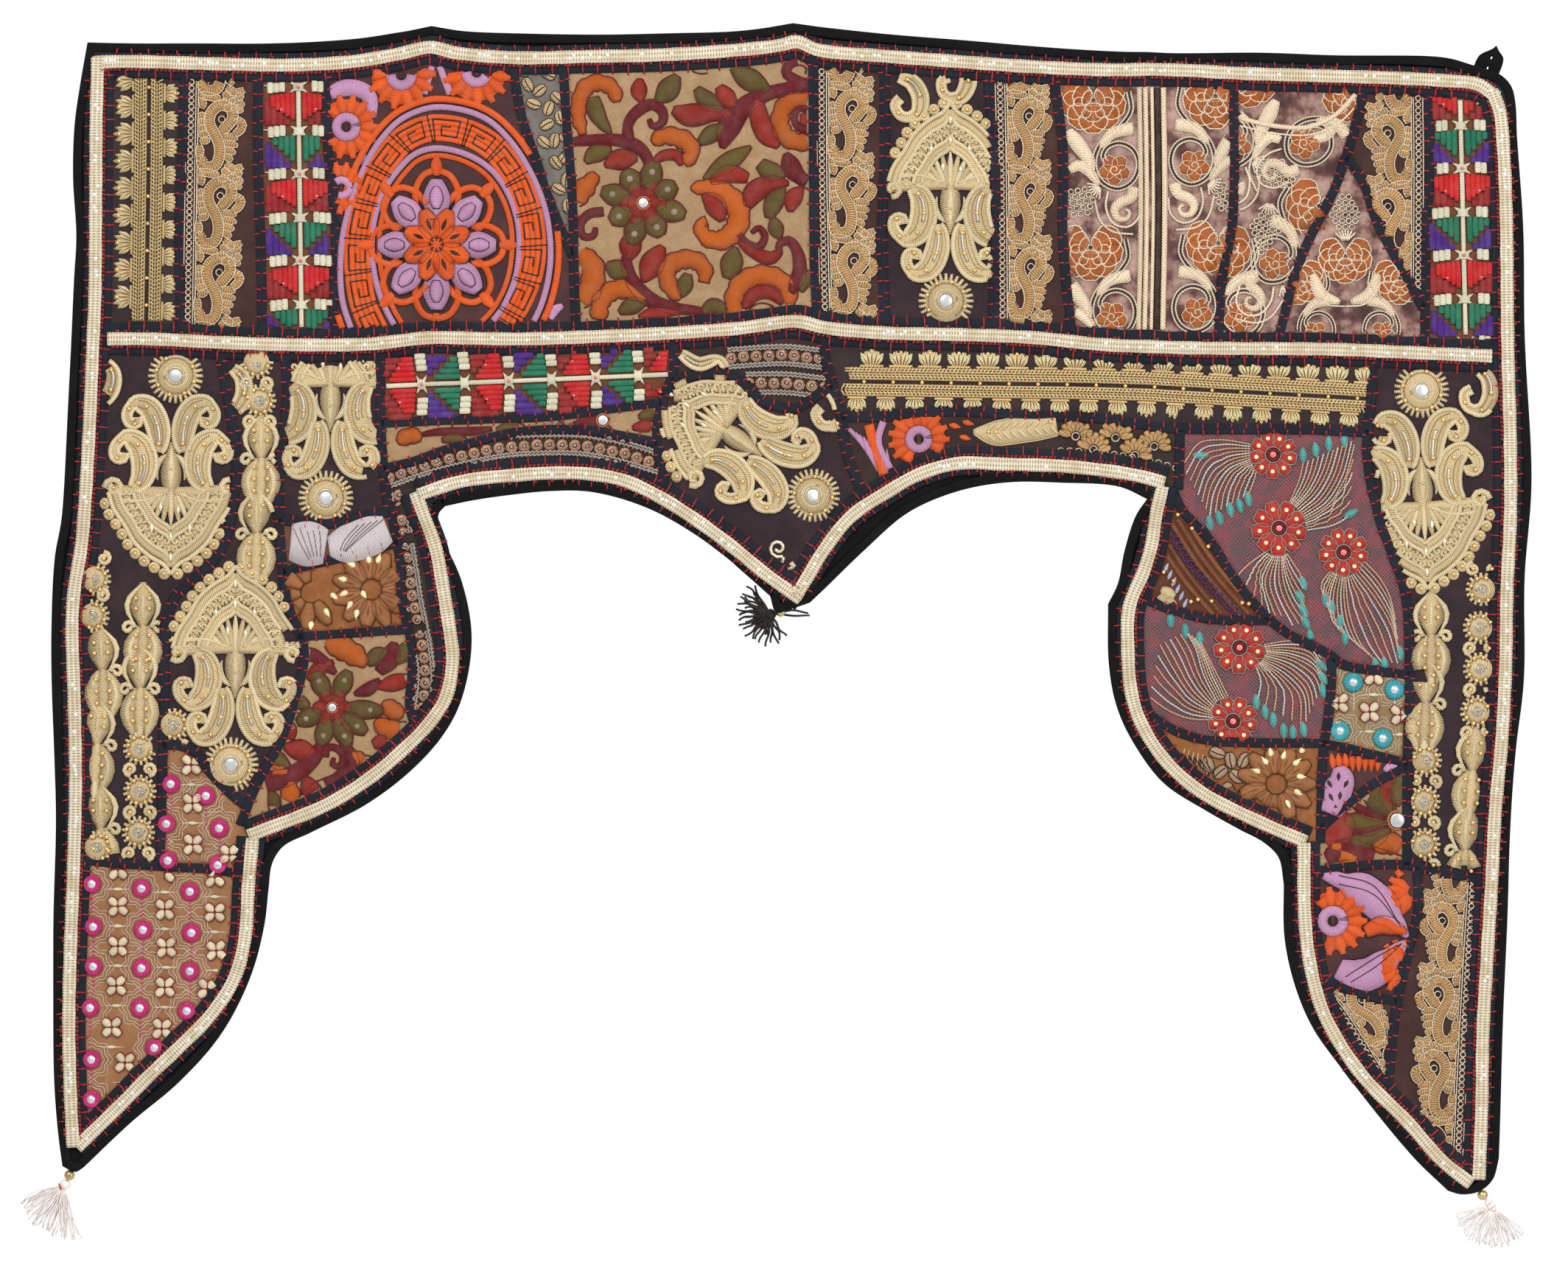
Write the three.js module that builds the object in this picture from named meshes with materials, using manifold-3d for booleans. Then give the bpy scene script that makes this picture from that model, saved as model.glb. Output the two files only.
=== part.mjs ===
// Toran: a patchwork door hanging with two hanging legs, two arches and a centre point.
// Millimetres, +Z up, the embroidered front faces -Y. The origin is on the centre fold, at the
// top edge and the back of the cloth.
//
// Flat places are given as [across, down], measured on the cloth laid out on a table.

import * as THREE from 'three';
import { mergeVertices } from 'three/addons/utils/BufferGeometryUtils.js';
import Module from 'manifold-3d';

const wasm = await Module();
wasm.setup();

// Thickness of each layer, and the gap that the stitches leave between touching pieces
const cloth_thick = 2;
const strip_thick = 1.4;
const braid_thick = 2;
const edge_thick = 2.5;
const tab_thick = 2;
const seam = 0.3;

// Widths across each band
const braid_half = 4.4;
const band_outer = 8.6;
const band_inner = 11.4;
const join_half = 3.1;
const edge_rim = 4.2;

// Longest step along a curved edge
const step = 34;

// The origin on the table
const fold_across = 538;
const fold_down = 16.5;

// Folds that run down the cloth: a ridge at across, standing rise proud, gone at reach
const folds = [
  { across: 150, rise: 3.0, reach: 95 },
  { across: 293, rise: 3.5, reach: 16 },
  { across: 293, rise: 2.5, reach: 80 },
  { across: 538, rise: 4.0, reach: 18 },
  { across: 538, rise: 3.5, reach: 120 },
  { across: 779, rise: 3.0, reach: 16 },
  { across: 779, rise: 2.5, reach: 90 },
  { across: 925, rise: 3.0, reach: 80 },
];

// How far the cloth swings forward on its way down
const sway = [
  { down: 0, push: 0 },
  { down: 230, push: 1.0 },
  { down: 345, push: 2.0 },
  { down: 480, push: 4.5 },
  { down: 640, push: 3.0 },
  { down: 790, push: 6.5 },
  { down: 880, push: 7.5 },
];

// Outer edge of the ground cloth, clockwise, one run between two corners at a time
const outline = [
  [[59, 28.5], [110, 29.5], [175, 29.5], [240, 26.5], [270, 22], [293, 18]],
  [[293, 18], [320, 21.5], [400, 23], [460, 22.5], [500, 21], [538, 16.5]],
  [[538, 16.5], [580, 21], [640, 26], [700, 31], [780, 36], [850, 35.5], [900, 37.5],
    [980, 39], [1001, 44.5]],
  [[1001, 44.5], [1018, 50], [1026, 58], [1029, 70], [1030, 90]],
  [[1030, 90], [1034, 150], [1035, 220], [1039.5, 327], [1035, 392], [1034, 460],
    [1028.6, 509], [1024.7, 568], [1022.5, 633], [1019, 716], [1016.5, 786]],
  [[1016.5, 786], [1012.5, 800], [1003.5, 808], [991, 810], [982, 807.5]],
  [[982, 807.5], [957.8, 784], [911, 726], [890, 696], [878, 666], [872, 636],
    [871.5, 600]],
  [[871.5, 600], [868, 582], [858, 572], [842, 563.5]],
  [[842, 563.5], [819, 550.6], [789, 531], [769.7, 505], [757.8, 479], [752.5, 450],
    [752, 410]],
  [[752, 410], [758.7, 396], [763.4, 373], [771, 350], [778.7, 338.6]],
  [[778.7, 338.6], [760, 330], [721, 327.5], [683, 327], [650, 333], [616, 348], [587, 373],
    [559, 400], [549.5, 409]],
  [[549.5, 409], [534, 414.3], [526.5, 415.8], [522.5, 404.5]],
  [[522.5, 404.5], [505, 389], [485, 372], [444, 346.5], [403, 334], [372.7, 333],
    [342, 336], [320, 339.5], [302, 343.5]],
  [[302, 343.5], [297.5, 349], [300, 365]],
  [[300, 365], [313.5, 395.5], [320, 434], [313, 475], [300, 500], [280, 522],
    [250, 545], [210, 565.5]],
  [[210, 565.5], [192, 574.5], [184.5, 586], [182, 604]],
  [[182, 604], [179, 629], [169.5, 664], [150, 702], [121.6, 734], [89.7, 761],
    [57, 792]],
  [[57, 792], [51.5, 795], [43, 791]],
  [[43, 791], [40, 767], [37, 727], [36.3, 640], [38, 560], [37, 510], [35, 429],
    [37, 379], [42, 350], [46.5, 260], [50, 190], [51.5, 160], [49, 120], [50, 85],
    [54, 57], [59, 28.5]],
];

// Middle line of each woven braid. The border braids follow each other clockwise.
const lines = {
  top: [[66, 42], [85, 41.5], [150, 43.5], [200, 44], [240, 41.5], [268, 37], [292, 32.5],
    [310, 36], [350, 39], [400, 38], [450, 37], [500, 34], [530, 31], [541, 29], [555, 34],
    [600, 38], [650, 41.5], [700, 45], [750, 47.3], [800, 47.5], [840, 49.5], [900, 51.5],
    [980, 54.5], [1003, 57], [1014, 64]],
  right_upper: [[1014, 64], [1018, 75], [1020.5, 100], [1022.5, 150], [1023, 200],
    [1023.5, 242]],
  right_lower: [[1023.5, 242], [1025, 300], [1025, 350], [1022.5, 400], [1021.5, 450],
    [1019, 500], [1014.5, 550], [1012, 600], [1009, 650], [1006, 700], [1005, 750],
    [1003, 797]],
  right_leg: [[995, 801], [977.5, 787], [954.5, 761], [924.5, 730.5], [904, 700], [895, 680],
    [888, 650], [885, 620], [884.5, 575]],
  right_lobe: [[883, 570], [856, 558.5], [814, 537], [789, 514.5], [773, 489], [767, 468],
    [765, 440], [766, 412], [776, 386.8], [781, 370], [784.5, 348], [788, 333]],
  right_arch: [[787, 327], [774, 323.5], [758, 320.5], [723, 316.5], [680, 315],
    [650, 314.5], [624, 321.8], [602, 334], [577, 351], [558, 375], [549, 390],
    [541, 403]],
  left_arch: [[541, 405], [520, 390], [495.5, 370], [471, 352], [447, 337], [423, 326],
    [398.5, 321.5], [374, 321], [350, 322.5], [314, 326.5], [287, 335]],
  left_lobe: [[283, 337], [288, 350], [296, 372], [301, 399], [306, 431.5], [307.5, 447],
    [303, 473], [291.5, 491], [273, 509.6], [251, 528], [222, 546], [172, 566]],
  left_leg: [[171.5, 572], [169, 600], [166.5, 637], [159.5, 663.6], [144, 688],
    [122.5, 710], [101, 730.5], [81, 750.8], [55, 776]],
  left_lower: [[50, 775], [48.6, 750], [47, 700], [47.7, 650], [50, 590], [51.5, 530],
    [50.5, 470], [49, 425], [50.5, 400], [55, 372], [57, 350], [60, 300], [63, 230]],
  left_upper: [[63, 230], [64.2, 200], [64.7, 130], [65, 80], [66, 42]],
  middle: [[63, 230], [100, 230], [150, 232.5], [200, 234], [250, 233.5], [290, 229.5],
    [350, 230], [400, 228.5], [450, 226.3], [500, 223], [541, 218.5], [560, 222.5],
    [600, 226], [650, 227], [700, 229], [750, 234], [800, 236], [900, 237], [950, 239],
    [1023.5, 242]],
};
const upper_side = ['top', 'right_upper'];
const lower_side = ['right_lower', 'right_leg', 'right_lobe', 'right_arch', 'left_arch',
  'left_lobe', 'left_leg', 'left_lower'];
const border = [...upper_side, ...lower_side, 'left_upper'];

// The middle braid stops at the side strips
const middle_reach = { from: 76, to: 1011 };

// Middle line of each slate strip that covers a join between two patches
const joins_above = {
  join_gold_lace: [[125.5, 44], [123.5, 100], [121.5, 150], [122.5, 226]],
  join_lace_cross: [[175, 44], [175, 100], [177.5, 200], [177.5, 228]],
  join_cross_medallion: [[220, 44], [222, 100], [227, 150], [226, 205], [225, 228]],
  join_medallion_net: [[347, 42], [355, 83], [363, 106], [371, 131], [388, 173]],
  join_net_crewel: [[382, 42], [384, 80], [388, 130], [389.5, 185], [391, 224]],
  join_crewel_lace: [[551.5, 36], [552, 100], [553, 190], [555, 218]],
  join_lace_paisley: [[600, 40], [600.5, 100], [598.5, 165], [601, 222]],
  join_paisley_lace: [[670, 44], [675, 110], [676, 150], [674, 224]],
  join_lace_cutwork: [[715, 48], [721.5, 100], [721.5, 160], [727.5, 228]],
  join_cutwork: [[837.5, 52], [836.7, 150], [829.4, 190], [827, 232]],
  join_cutwork_wedge: [[926, 54], [921, 80], [907, 125], [883, 175], [867, 232]],
  join_lace_cross_right: [[969, 56], [971, 110], [968.5, 150], [967, 234]],
  join_wedge_lace: [[914, 106], [925.7, 125], [934.4, 150], [953, 185], [966, 209]],
};
const joins_below = {
  join_mirrors: [[50, 583], [81, 586], [119.5, 588.5], [142, 589.5], [168, 594]],
  join_fans: [[149, 236], [153, 262], [160, 305], [159.5, 335], [151, 372], [136, 390],
    [120, 404], [113.5, 420], [111.5, 485], [110, 545], [108.7, 588]],
  join_fan_patches: [[193, 238], [195, 262], [189, 330], [190.5, 370], [195.5, 410],
    [206.5, 441], [201.5, 470], [191.5, 501], [175.5, 530], [163, 560]],
  join_under_fan: [[110.5, 506], [122, 506], [133, 511], [142, 523], [153, 535],
    [166.5, 547]],
  join_long_left: [[258, 236], [258.5, 290], [262, 334], [268, 362], [272, 385],
    [272.5, 405], [279.5, 440], [279.5, 460], [278, 478], [284, 500]],
  join_satin_top: [[189, 353], [220, 356], [240, 352], [265, 347]],
  join_satin_bottom: [[192, 388], [216, 382], [250, 374], [270, 368]],
  join_copper_crewel: [[202, 432], [240, 429.5], [277, 427]],
  join_centre_left: [[457, 230], [457, 250], [446.5, 283], [446, 303], [452, 334]],
  join_cross_crewel: [[258.5, 287], [335, 284], [374, 282.5], [422, 276], [449, 273]],
  join_crewel_sequins: [[260, 318], [284, 312], [307, 304], [352, 293], [398, 292],
    [446, 300]],
  join_centre_right: [[557, 226], [563, 256], [571, 281], [574, 305], [586, 338]],
  join_centre_top: [[455, 258.5], [470, 255], [490, 253.5], [502, 258], [512, 268],
    [524, 275], [540, 277], [552, 270], [564.5, 261]],
  join_leg_top: [[884, 593], [911, 588.5], [950, 586.5], [978, 591.6], [1008, 598]],
  join_right_fan: [[929, 238], [931, 262], [927.5, 308], [935.5, 350], [953, 401],
    [956, 430], [956, 478], [954.5, 520], [954.5, 587]],
  join_gold_below: [[571, 282.5], [592, 283.3], [641, 279], [700, 282], [746, 284],
    [793, 290.5], [886, 291.5], [928.5, 293.5]],
  join_net_corner: [[801, 291.5], [800, 332]],
  join_net_left: [[797, 336], [803, 347], [820, 365], [836, 390], [855, 414], [874, 430],
    [900, 443], [911, 451], [924, 454], [956, 458]],
  join_net_lower: [[768, 403], [793, 413], [821, 420], [862, 421]],
  join_mirror_left: [[903.5, 447], [903, 466], [901, 489], [897.5, 510], [896, 572]],
  join_net_bottom: [[778, 484], [800, 497], [821, 502.5], [899, 504.5]],
  join_mirror_bottom: [[899, 504.5], [923, 510], [955, 518]],
  join_suzani_crewel: [[896.5, 562], [909, 550], [932, 532], [954, 520.5]],
  join_leg_side: [[961.5, 588.5], [962.5, 617], [956, 644], [948.5, 676], [943.5, 712],
    [941, 742]],
  join_leg_low: [[892, 658], [911, 669.5], [934, 676.8], [948, 679]],
};

const material = (color, roughness, metalness = 0) =>
  new THREE.MeshStandardMaterial({ color, roughness, metalness });
const finishes = {
  black: material('#1f1c1e', 0.92),
  slate: material('#3a3d47', 0.9),
  braid: material('#d9c7a0', 0.8),
  black_thread: material('#15171c', 0.75),
  white_thread: material('#efe6e2', 0.7),
  gold: material('#c8a94c', 0.35, 0.8),
};

const part = new THREE.Group();

function add(name, solid, finish) {
  const mesh = solid.getMesh();
  const geometry = new THREE.BufferGeometry();
  geometry.setAttribute('position', new THREE.BufferAttribute(mesh.vertProperties, 3));
  geometry.setIndex(new THREE.BufferAttribute(mesh.triVerts, 1));
  geometry.computeVertexNormals();
  const piece = new THREE.Mesh(geometry, finish);
  piece.name = name;
  part.add(piece);
}

// A closed mesh becomes a solid that can be joined and cut
function solid_of(geometry) {
  geometry.deleteAttribute('normal');
  geometry.deleteAttribute('uv');
  const merged = mergeVertices(geometry, 1e-4);
  return new wasm.Manifold(new wasm.Mesh({
    numProp: 3,
    vertProperties: new Float32Array(merged.attributes.position.array),
    triVerts: new Uint32Array(merged.index.array),
  }));
}

function join(solids) {
  return solids.reduce((whole, next) => whole.add(next));
}

// How far the back of the cloth stands forward of the wall side, at a place on the table
function ridge(fold, across) {
  return fold.rise * Math.max(0, 1 - Math.abs(across - fold.across) / fold.reach);
}

function swing(down) {
  const last = sway.findIndex((row) => row.down >= down);
  if (last <= 0) return sway[last < 0 ? sway.length - 1 : 0].push;
  const [above, below] = [sway[last - 1], sway[last]];
  const share = (down - above.down) / (below.down - above.down);
  return above.push + share * (below.push - above.push);
}

function relief(across, down) {
  return folds.reduce((sum, fold) => sum + ridge(fold, across), swing(down));
}

// A place on the table, at a height over the back of the cloth, in the part's own frame
const crown = relief(fold_across, fold_down);
function place(across, down, height = 0) {
  const forward = relief(across, down) - crown + height;
  return new THREE.Vector3(across - fold_across, -forward, fold_down - down);
}

// A sheet over the whole table that follows the folds, between two heights
const board = { left: 20, right: 1060, top: 0, bottom: 880 };
const columns = [...new Set([board.left, board.right, ...folds.flatMap(
  ({ across, reach }) => [across - reach, across, across + reach])])].sort((a, b) => a - b);
const rows = sway.map((row) => row.down);

function layer(low, high) {
  const points = [];
  for (const height of [low, high]) {
    for (const down of rows) {
      for (const across of columns) points.push(...place(across, down, height).toArray());
    }
  }
  const wide = columns.length;
  const side = wide * rows.length;
  const index = [];
  const quad = (a, b, c, d) => index.push(a, b, c, a, c, d);
  for (let j = 0; j + 1 < rows.length; j += 1) {
    for (let i = 0; i + 1 < wide; i += 1) {
      const a = j * wide + i;
      quad(a, a + 1, a + wide + 1, a + wide);
      quad(side + a, side + a + wide, side + a + wide + 1, side + a + 1);
    }
  }
  for (let i = 0; i + 1 < wide; i += 1) {
    const bottom = (rows.length - 1) * wide + i;
    quad(i, side + i, side + i + 1, i + 1);
    quad(bottom, bottom + 1, side + bottom + 1, side + bottom);
  }
  for (let j = 0; j + 1 < rows.length; j += 1) {
    const left = j * wide;
    const right = left + wide - 1;
    quad(left, left + wide, side + left + wide, side + left);
    quad(right, side + right, side + right + wide, right + wide);
  }
  const geometry = new THREE.BufferGeometry();
  geometry.setAttribute('position', new THREE.Float32BufferAttribute(points, 3));
  geometry.setIndex(index);
  return solid_of(geometry);
}

// A flat outline cut straight through every layer
const cut_depth = 80;
function cutter(points) {
  const shape = new THREE.Shape(points.map(([across, down]) =>
    new THREE.Vector2(across - fold_across, fold_down - down)));
  const geometry = new THREE.ExtrudeGeometry(shape, { depth: cut_depth, bevelEnabled: false });
  geometry.rotateX(Math.PI / 2);
  geometry.translate(0, cut_depth / 2, 0);
  return solid_of(geometry);
}

// Evenly spaced places along the smooth curve through a list of places
function along(points) {
  const curve = new THREE.CatmullRomCurve3(points.map(([a, d]) => new THREE.Vector3(a, d, 0)));
  const count = Math.max(points.length - 1, Math.round(curve.getLength() / step));
  const places = [];
  for (let k = 0; k <= count; k += 1) {
    const { x, y } = curve.getPointAt(k / count);
    const way = curve.getTangentAt(k / count);
    places.push({ across: x, down: y, way });
  }
  return places;
}

// A strip of one width along such a curve, run on past both ends
function ribbon(points, half, run_on = 0) {
  const places = along(points);
  const first = places[0];
  const last = places[places.length - 1];
  first.across -= run_on * first.way.x;
  first.down -= run_on * first.way.y;
  last.across += run_on * last.way.x;
  last.down += run_on * last.way.y;
  const beside = (side) => places.map(({ across, down, way }) =>
    [across - side * half * way.y, down + side * half * way.x]);
  return cutter([...beside(1), ...beside(-1).reverse()]);
}

const outline_points = outline.flatMap((run) => along(run).slice(0, -1))
  .map(({ across, down }) => [across, down]);
const inside_outline = cutter(outline_points);

const path = (names) => names.flatMap((name) => along(lines[name]))
  .map(({ across, down }) => [across, down]);
const upper_field = cutter([...path(['left_upper']), ...path(upper_side),
  ...path(['middle']).reverse()]);
const lower_field = cutter([...path(['middle']), ...path(lower_side)]);

const bands = (names, half, run_on) => join(names.map((name) =>
  ribbon(lines[name], half, run_on)));
const within = (half) => join([upper_field, lower_field, bands(border, half, half)]);
const middle_line = lines.middle.filter(([across]) =>
  across > middle_reach.from && across < middle_reach.to);
middle_line.unshift([middle_reach.from, lines.middle[0][1]]);
middle_line.push([middle_reach.to, lines.middle[lines.middle.length - 1][1]]);

const skin = cloth_thick + seam;
const strip_layer = layer(skin, skin + strip_thick);
const braid_base = skin + strip_thick + seam;
const braid_layer = layer(braid_base, braid_base + braid_thick);
const edge_layer = layer(skin, skin + edge_thick);

add('ground_cloth', layer(0, cloth_thick).intersect(inside_outline), finishes.black);

// The soft edge takes up what the slate band leaves, and is never narrower than its rim
const rim = (width) => join(outline.map((run) => ribbon(run, width, width)));
const braid_cut = bands(border, braid_half + seam, seam);
const edge_region = inside_outline.subtract(within(band_outer + seam))
  .add(rim(edge_rim).intersect(inside_outline));
add('edge_binding', edge_layer.intersect(edge_region).subtract(braid_cut), finishes.black);

// A slate band lies under the border braids and another under the middle one
const inner_edge = bands(border, band_inner, band_inner);
const open_field = upper_field.add(lower_field).subtract(inner_edge);
add('band_border', strip_layer.intersect(within(band_outer)).intersect(inside_outline)
  .subtract(open_field).subtract(rim(edge_rim + seam)), finishes.slate);
const border_cut = bands(border, band_inner + seam, band_inner);
const middle_band = ribbon(lines.middle, band_inner);
add('band_middle', strip_layer.intersect(middle_band).subtract(border_cut), finishes.slate);

// Each braid gives way to the ones before it where two meet
const braids = {
  braid_top: lines.top,
  braid_right: [...lines.right_upper, ...lines.right_lower.slice(1)],
  braid_right_leg: lines.right_leg,
  braid_right_lobe: lines.right_lobe,
  braid_right_arch: lines.right_arch,
  braid_left_arch: lines.left_arch,
  braid_left_lobe: lines.left_lobe,
  braid_left_leg: lines.left_leg,
  braid_left: [...lines.left_lower, ...lines.left_upper.slice(1)],
  braid_middle: middle_line,
};
let laid = rim(1);
for (const [name, line] of Object.entries(braids)) {
  add(name, braid_layer.intersect(ribbon(line, braid_half)).subtract(laid), finishes.braid);
  laid = laid.add(ribbon(line, braid_half + seam));
}

// The joins stop at the bands, and a later one stops at an earlier one
const band_cut = border_cut.add(ribbon(lines.middle, band_inner + seam));
for (const [field, joins] of [[upper_field, joins_above], [lower_field, joins_below]]) {
  let before = band_cut;
  for (const [name, line] of Object.entries(joins)) {
    const strip = strip_layer.intersect(field).intersect(ribbon(line, join_half));
    add(name, strip.subtract(before), finishes.slate);
    before = before.add(ribbon(line, join_half + seam));
  }
}

// Hanging tab: a pointed strip sewn behind the right end of the top edge, with two small slits
const tab_outline = [[1016.8, 29.9], [1018.2, 33], [1021.6, 38.7], [1017.5, 52], [1013, 66],
  [997, 61], [1001.2, 44], [1005.3, 36.2], [1014.2, 31.9]];
const tab_slits = [[1013.4, 38.2], [1010.7, 45.2]];
const slit = { half_wide: 0.75, half_long: 1.5, lean: [0.4, -0.92] };
const slit_cut = ([across, down]) => {
  const [u, v] = slit.lean;
  const corner = (wide, long) => [
    across + wide * slit.half_wide * v + long * slit.half_long * u,
    down - wide * slit.half_wide * u + long * slit.half_long * v];
  return cutter([corner(-1, -1), corner(1, -1), corner(1, 1), corner(-1, 1)]);
};
add('hanging_tab', layer(-seam - tab_thick, -seam).intersect(cutter(tab_outline))
  .subtract(join(tab_slits.map(slit_cut))), finishes.black);

// Round gilt beads at the three points
function bead(across, down, radius, height) {
  const ball = new THREE.SphereGeometry(radius, 12, 8);
  ball.translate(...place(across, down, height).toArray());
  return solid_of(ball);
}
const gilt_radius = 3.6;
const point_bead_radius = 3;
const mid_cloth = cloth_thick / 2;
const behind = -seam - point_bead_radius;
add('bead_centre', bead(529.8, 415.7, point_bead_radius, behind), finishes.gold);
add('bead_left', bead(47.2, 797.5, gilt_radius, mid_cloth), finishes.gold);
add('bead_right', bead(1006, 810.9, gilt_radius, mid_cloth), finishes.gold);

// One lock of thread, bowed on its way to its tip
function lock(from, to, bow, thick) {
  const middle = from.clone().lerp(to, 0.5).add(bow);
  const route = new THREE.CatmullRomCurve3([from, middle, to]);
  const corners = [90, 210, 330].map((angle) => new THREE.Vector2(
    thick * Math.cos(THREE.MathUtils.degToRad(angle)),
    thick * Math.sin(THREE.MathUtils.degToRad(angle))));
  return solid_of(new THREE.ExtrudeGeometry(new THREE.Shape(corners),
    { steps: 2, bevelEnabled: false, extrudePath: route }));
}

// A tassel is a head with its locks fanned out in rows behind each other. A row's tips are
// a spread of angles, in degrees from straight down, turning to the right.
function tassel({ head, root, skirt, thick, drop, fans }) {
  const locks = fans.flatMap((fan, row) => Array.from({ length: fan.count }, (_, k) => {
    const share = k / (fan.count - 1);
    const angle = THREE.MathUtils.degToRad(fan.from + share * (fan.to - fan.from));
    const reach = fan.reach[0] + share * (fan.reach[1] - fan.reach[0]) - (k % 2) * fan.stagger;
    const way = new THREE.Vector3(Math.sin(angle), 0, -Math.cos(angle));
    const back = new THREE.Vector3(0, row * fan.apart, 0);
    const start = root.clone().addScaledVector(way, skirt).addScaledVector(back, 0.3);
    const tip = root.clone().addScaledVector(way, reach).add(back);
    return lock(start, tip, new THREE.Vector3(0, 0, drop * Math.abs(Math.sin(angle))), thick);
  }));
  return join([head, ...locks]);
}

const dark_radius = 4;
const dark_head = new THREE.SphereGeometry(dark_radius, 10, 8);
dark_head.translate(...place(522.7, 417, -seam - dark_radius).toArray());
add('tassel_centre', tassel({
  head: solid_of(dark_head),
  root: place(522, 417, -seam - dark_radius),
  skirt: 1.6,
  thick: 0.85,
  drop: 1,
  fans: [
    { count: 14, from: -152, to: 36, reach: [24, 20], stagger: 4, apart: 0 },
    { count: 9, from: -140, to: -10, reach: [24, 15], stagger: 3, apart: 2.6 },
    { count: 2, from: 86, to: 94, reach: [29, 28], stagger: 0, apart: 4 },
  ],
}), finishes.black_thread);

const left_head = new THREE.SphereGeometry(gilt_radius, 10, 8);
left_head.translate(...place(44.1, 803.9, mid_cloth - 2.5).toArray());
add('tassel_left', tassel({
  head: solid_of(left_head),
  root: place(42.6, 805.2, mid_cloth - 2.5),
  skirt: 1.2,
  thick: 0.85,
  drop: 2.5,
  fans: [
    { count: 15, from: -74, to: 18, reach: [30, 38], stagger: 3, apart: 0 },
    { count: 11, from: -68, to: 13, reach: [27, 35], stagger: 2, apart: 2.4 },
  ],
}), finishes.white_thread);

const barrel = [[0, -4.75], [1.6, -4.3], [2.7, -2.4], [2.9, 0.6], [2.1, 4.2], [0, 4.75]]
  .map(([radius, height]) => new THREE.Vector2(radius, height));
const barrel_lean = THREE.MathUtils.degToRad(143);
const right_head = new THREE.LatheGeometry(barrel, 9);
right_head.rotateX(Math.PI / 2);
right_head.rotateY(barrel_lean);
right_head.translate(...place(1011.2, 817.8, mid_cloth).toArray());
add('tassel_right', tassel({
  head: solid_of(right_head),
  root: place(1012.8, 820, mid_cloth),
  skirt: 0.8,
  thick: 0.8,
  drop: 2,
  fans: [
    { count: 13, from: -78, to: 52, reach: [27, 28], stagger: 3, apart: 0 },
    { count: 10, from: -70, to: 45, reach: [26, 29], stagger: 3, apart: 2.2 },
  ],
}), finishes.white_thread);

export default part;
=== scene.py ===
import math
import bpy
import numpy as np
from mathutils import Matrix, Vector
from mathutils.geometry import delaunay_2d_cdt


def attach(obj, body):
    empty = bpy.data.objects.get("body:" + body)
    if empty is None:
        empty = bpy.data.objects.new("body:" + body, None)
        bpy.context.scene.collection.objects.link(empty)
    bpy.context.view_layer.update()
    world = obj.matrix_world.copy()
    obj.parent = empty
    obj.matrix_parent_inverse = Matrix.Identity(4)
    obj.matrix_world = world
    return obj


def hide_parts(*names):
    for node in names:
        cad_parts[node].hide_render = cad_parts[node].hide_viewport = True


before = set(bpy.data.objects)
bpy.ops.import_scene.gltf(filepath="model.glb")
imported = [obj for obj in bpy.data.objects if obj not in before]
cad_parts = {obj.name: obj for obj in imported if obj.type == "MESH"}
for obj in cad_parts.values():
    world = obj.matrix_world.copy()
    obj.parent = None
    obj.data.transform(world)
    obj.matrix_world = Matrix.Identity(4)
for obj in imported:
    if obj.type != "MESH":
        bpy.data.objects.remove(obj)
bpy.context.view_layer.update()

# Camera and studio. The toran hangs flat and is seen square on, a little over a metre across
# the picture, on white. Soft light comes from above the middle, with a weaker one from the right.
camera_distance = 3.0
picture_width = 1.064
picture_centre = (-0.006, -0.4175)
sensor = 36.0
camera = bpy.data.objects.new("camera", bpy.data.cameras.new("camera"))
camera.data.sensor_width = sensor
camera.data.lens = sensor * camera_distance / picture_width
camera.location = (picture_centre[0], -camera_distance, picture_centre[1])
camera.rotation_euler = (math.pi / 2, 0, 0)
bpy.context.collection.objects.link(camera)
bpy.context.scene.camera = camera
bpy.context.scene.view_settings.view_transform = "Standard"

world = bpy.data.worlds.new("studio")
world.use_nodes = True
studio = world.node_tree
studio.nodes.clear()
studio_light = studio.nodes.new("ShaderNodeBackground")
studio_light.inputs["Strength"].default_value = 0.62
backdrop = studio.nodes.new("ShaderNodeBackground")
backdrop.inputs["Color"].default_value = (1, 1, 1, 1)
seen = studio.nodes.new("ShaderNodeLightPath")
either = studio.nodes.new("ShaderNodeMixShader")
sky = studio.nodes.new("ShaderNodeOutputWorld")
studio_light.inputs["Color"].default_value = (1, 0.99, 0.98, 1)
studio.links.new(seen.outputs["Is Camera Ray"], either.inputs["Fac"])
studio.links.new(studio_light.outputs[0], either.inputs[1])
studio.links.new(backdrop.outputs[0], either.inputs[2])
studio.links.new(either.outputs[0], sky.inputs["Surface"])
bpy.context.scene.world = world


def lamp(name, place, size, power):
    light = bpy.data.lights.new(name, "AREA")
    light.size = size
    light.energy = power
    holder = bpy.data.objects.new(name, light)
    holder.location = place
    aim = Vector((0, 0, picture_centre[1])) - Vector(place)
    holder.rotation_euler = aim.to_track_quat("-Z", "Y").to_euler()
    bpy.context.collection.objects.link(holder)


lamp("key_light", (-0.7, -2.2, 1.2), 1.0, 45)
lamp("fill_light", (1.9, -2.0, 0.2), 1.4, 30)
lamp("back_light", (0.5, 2.4, 0.9), 1.6, 34)

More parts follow.
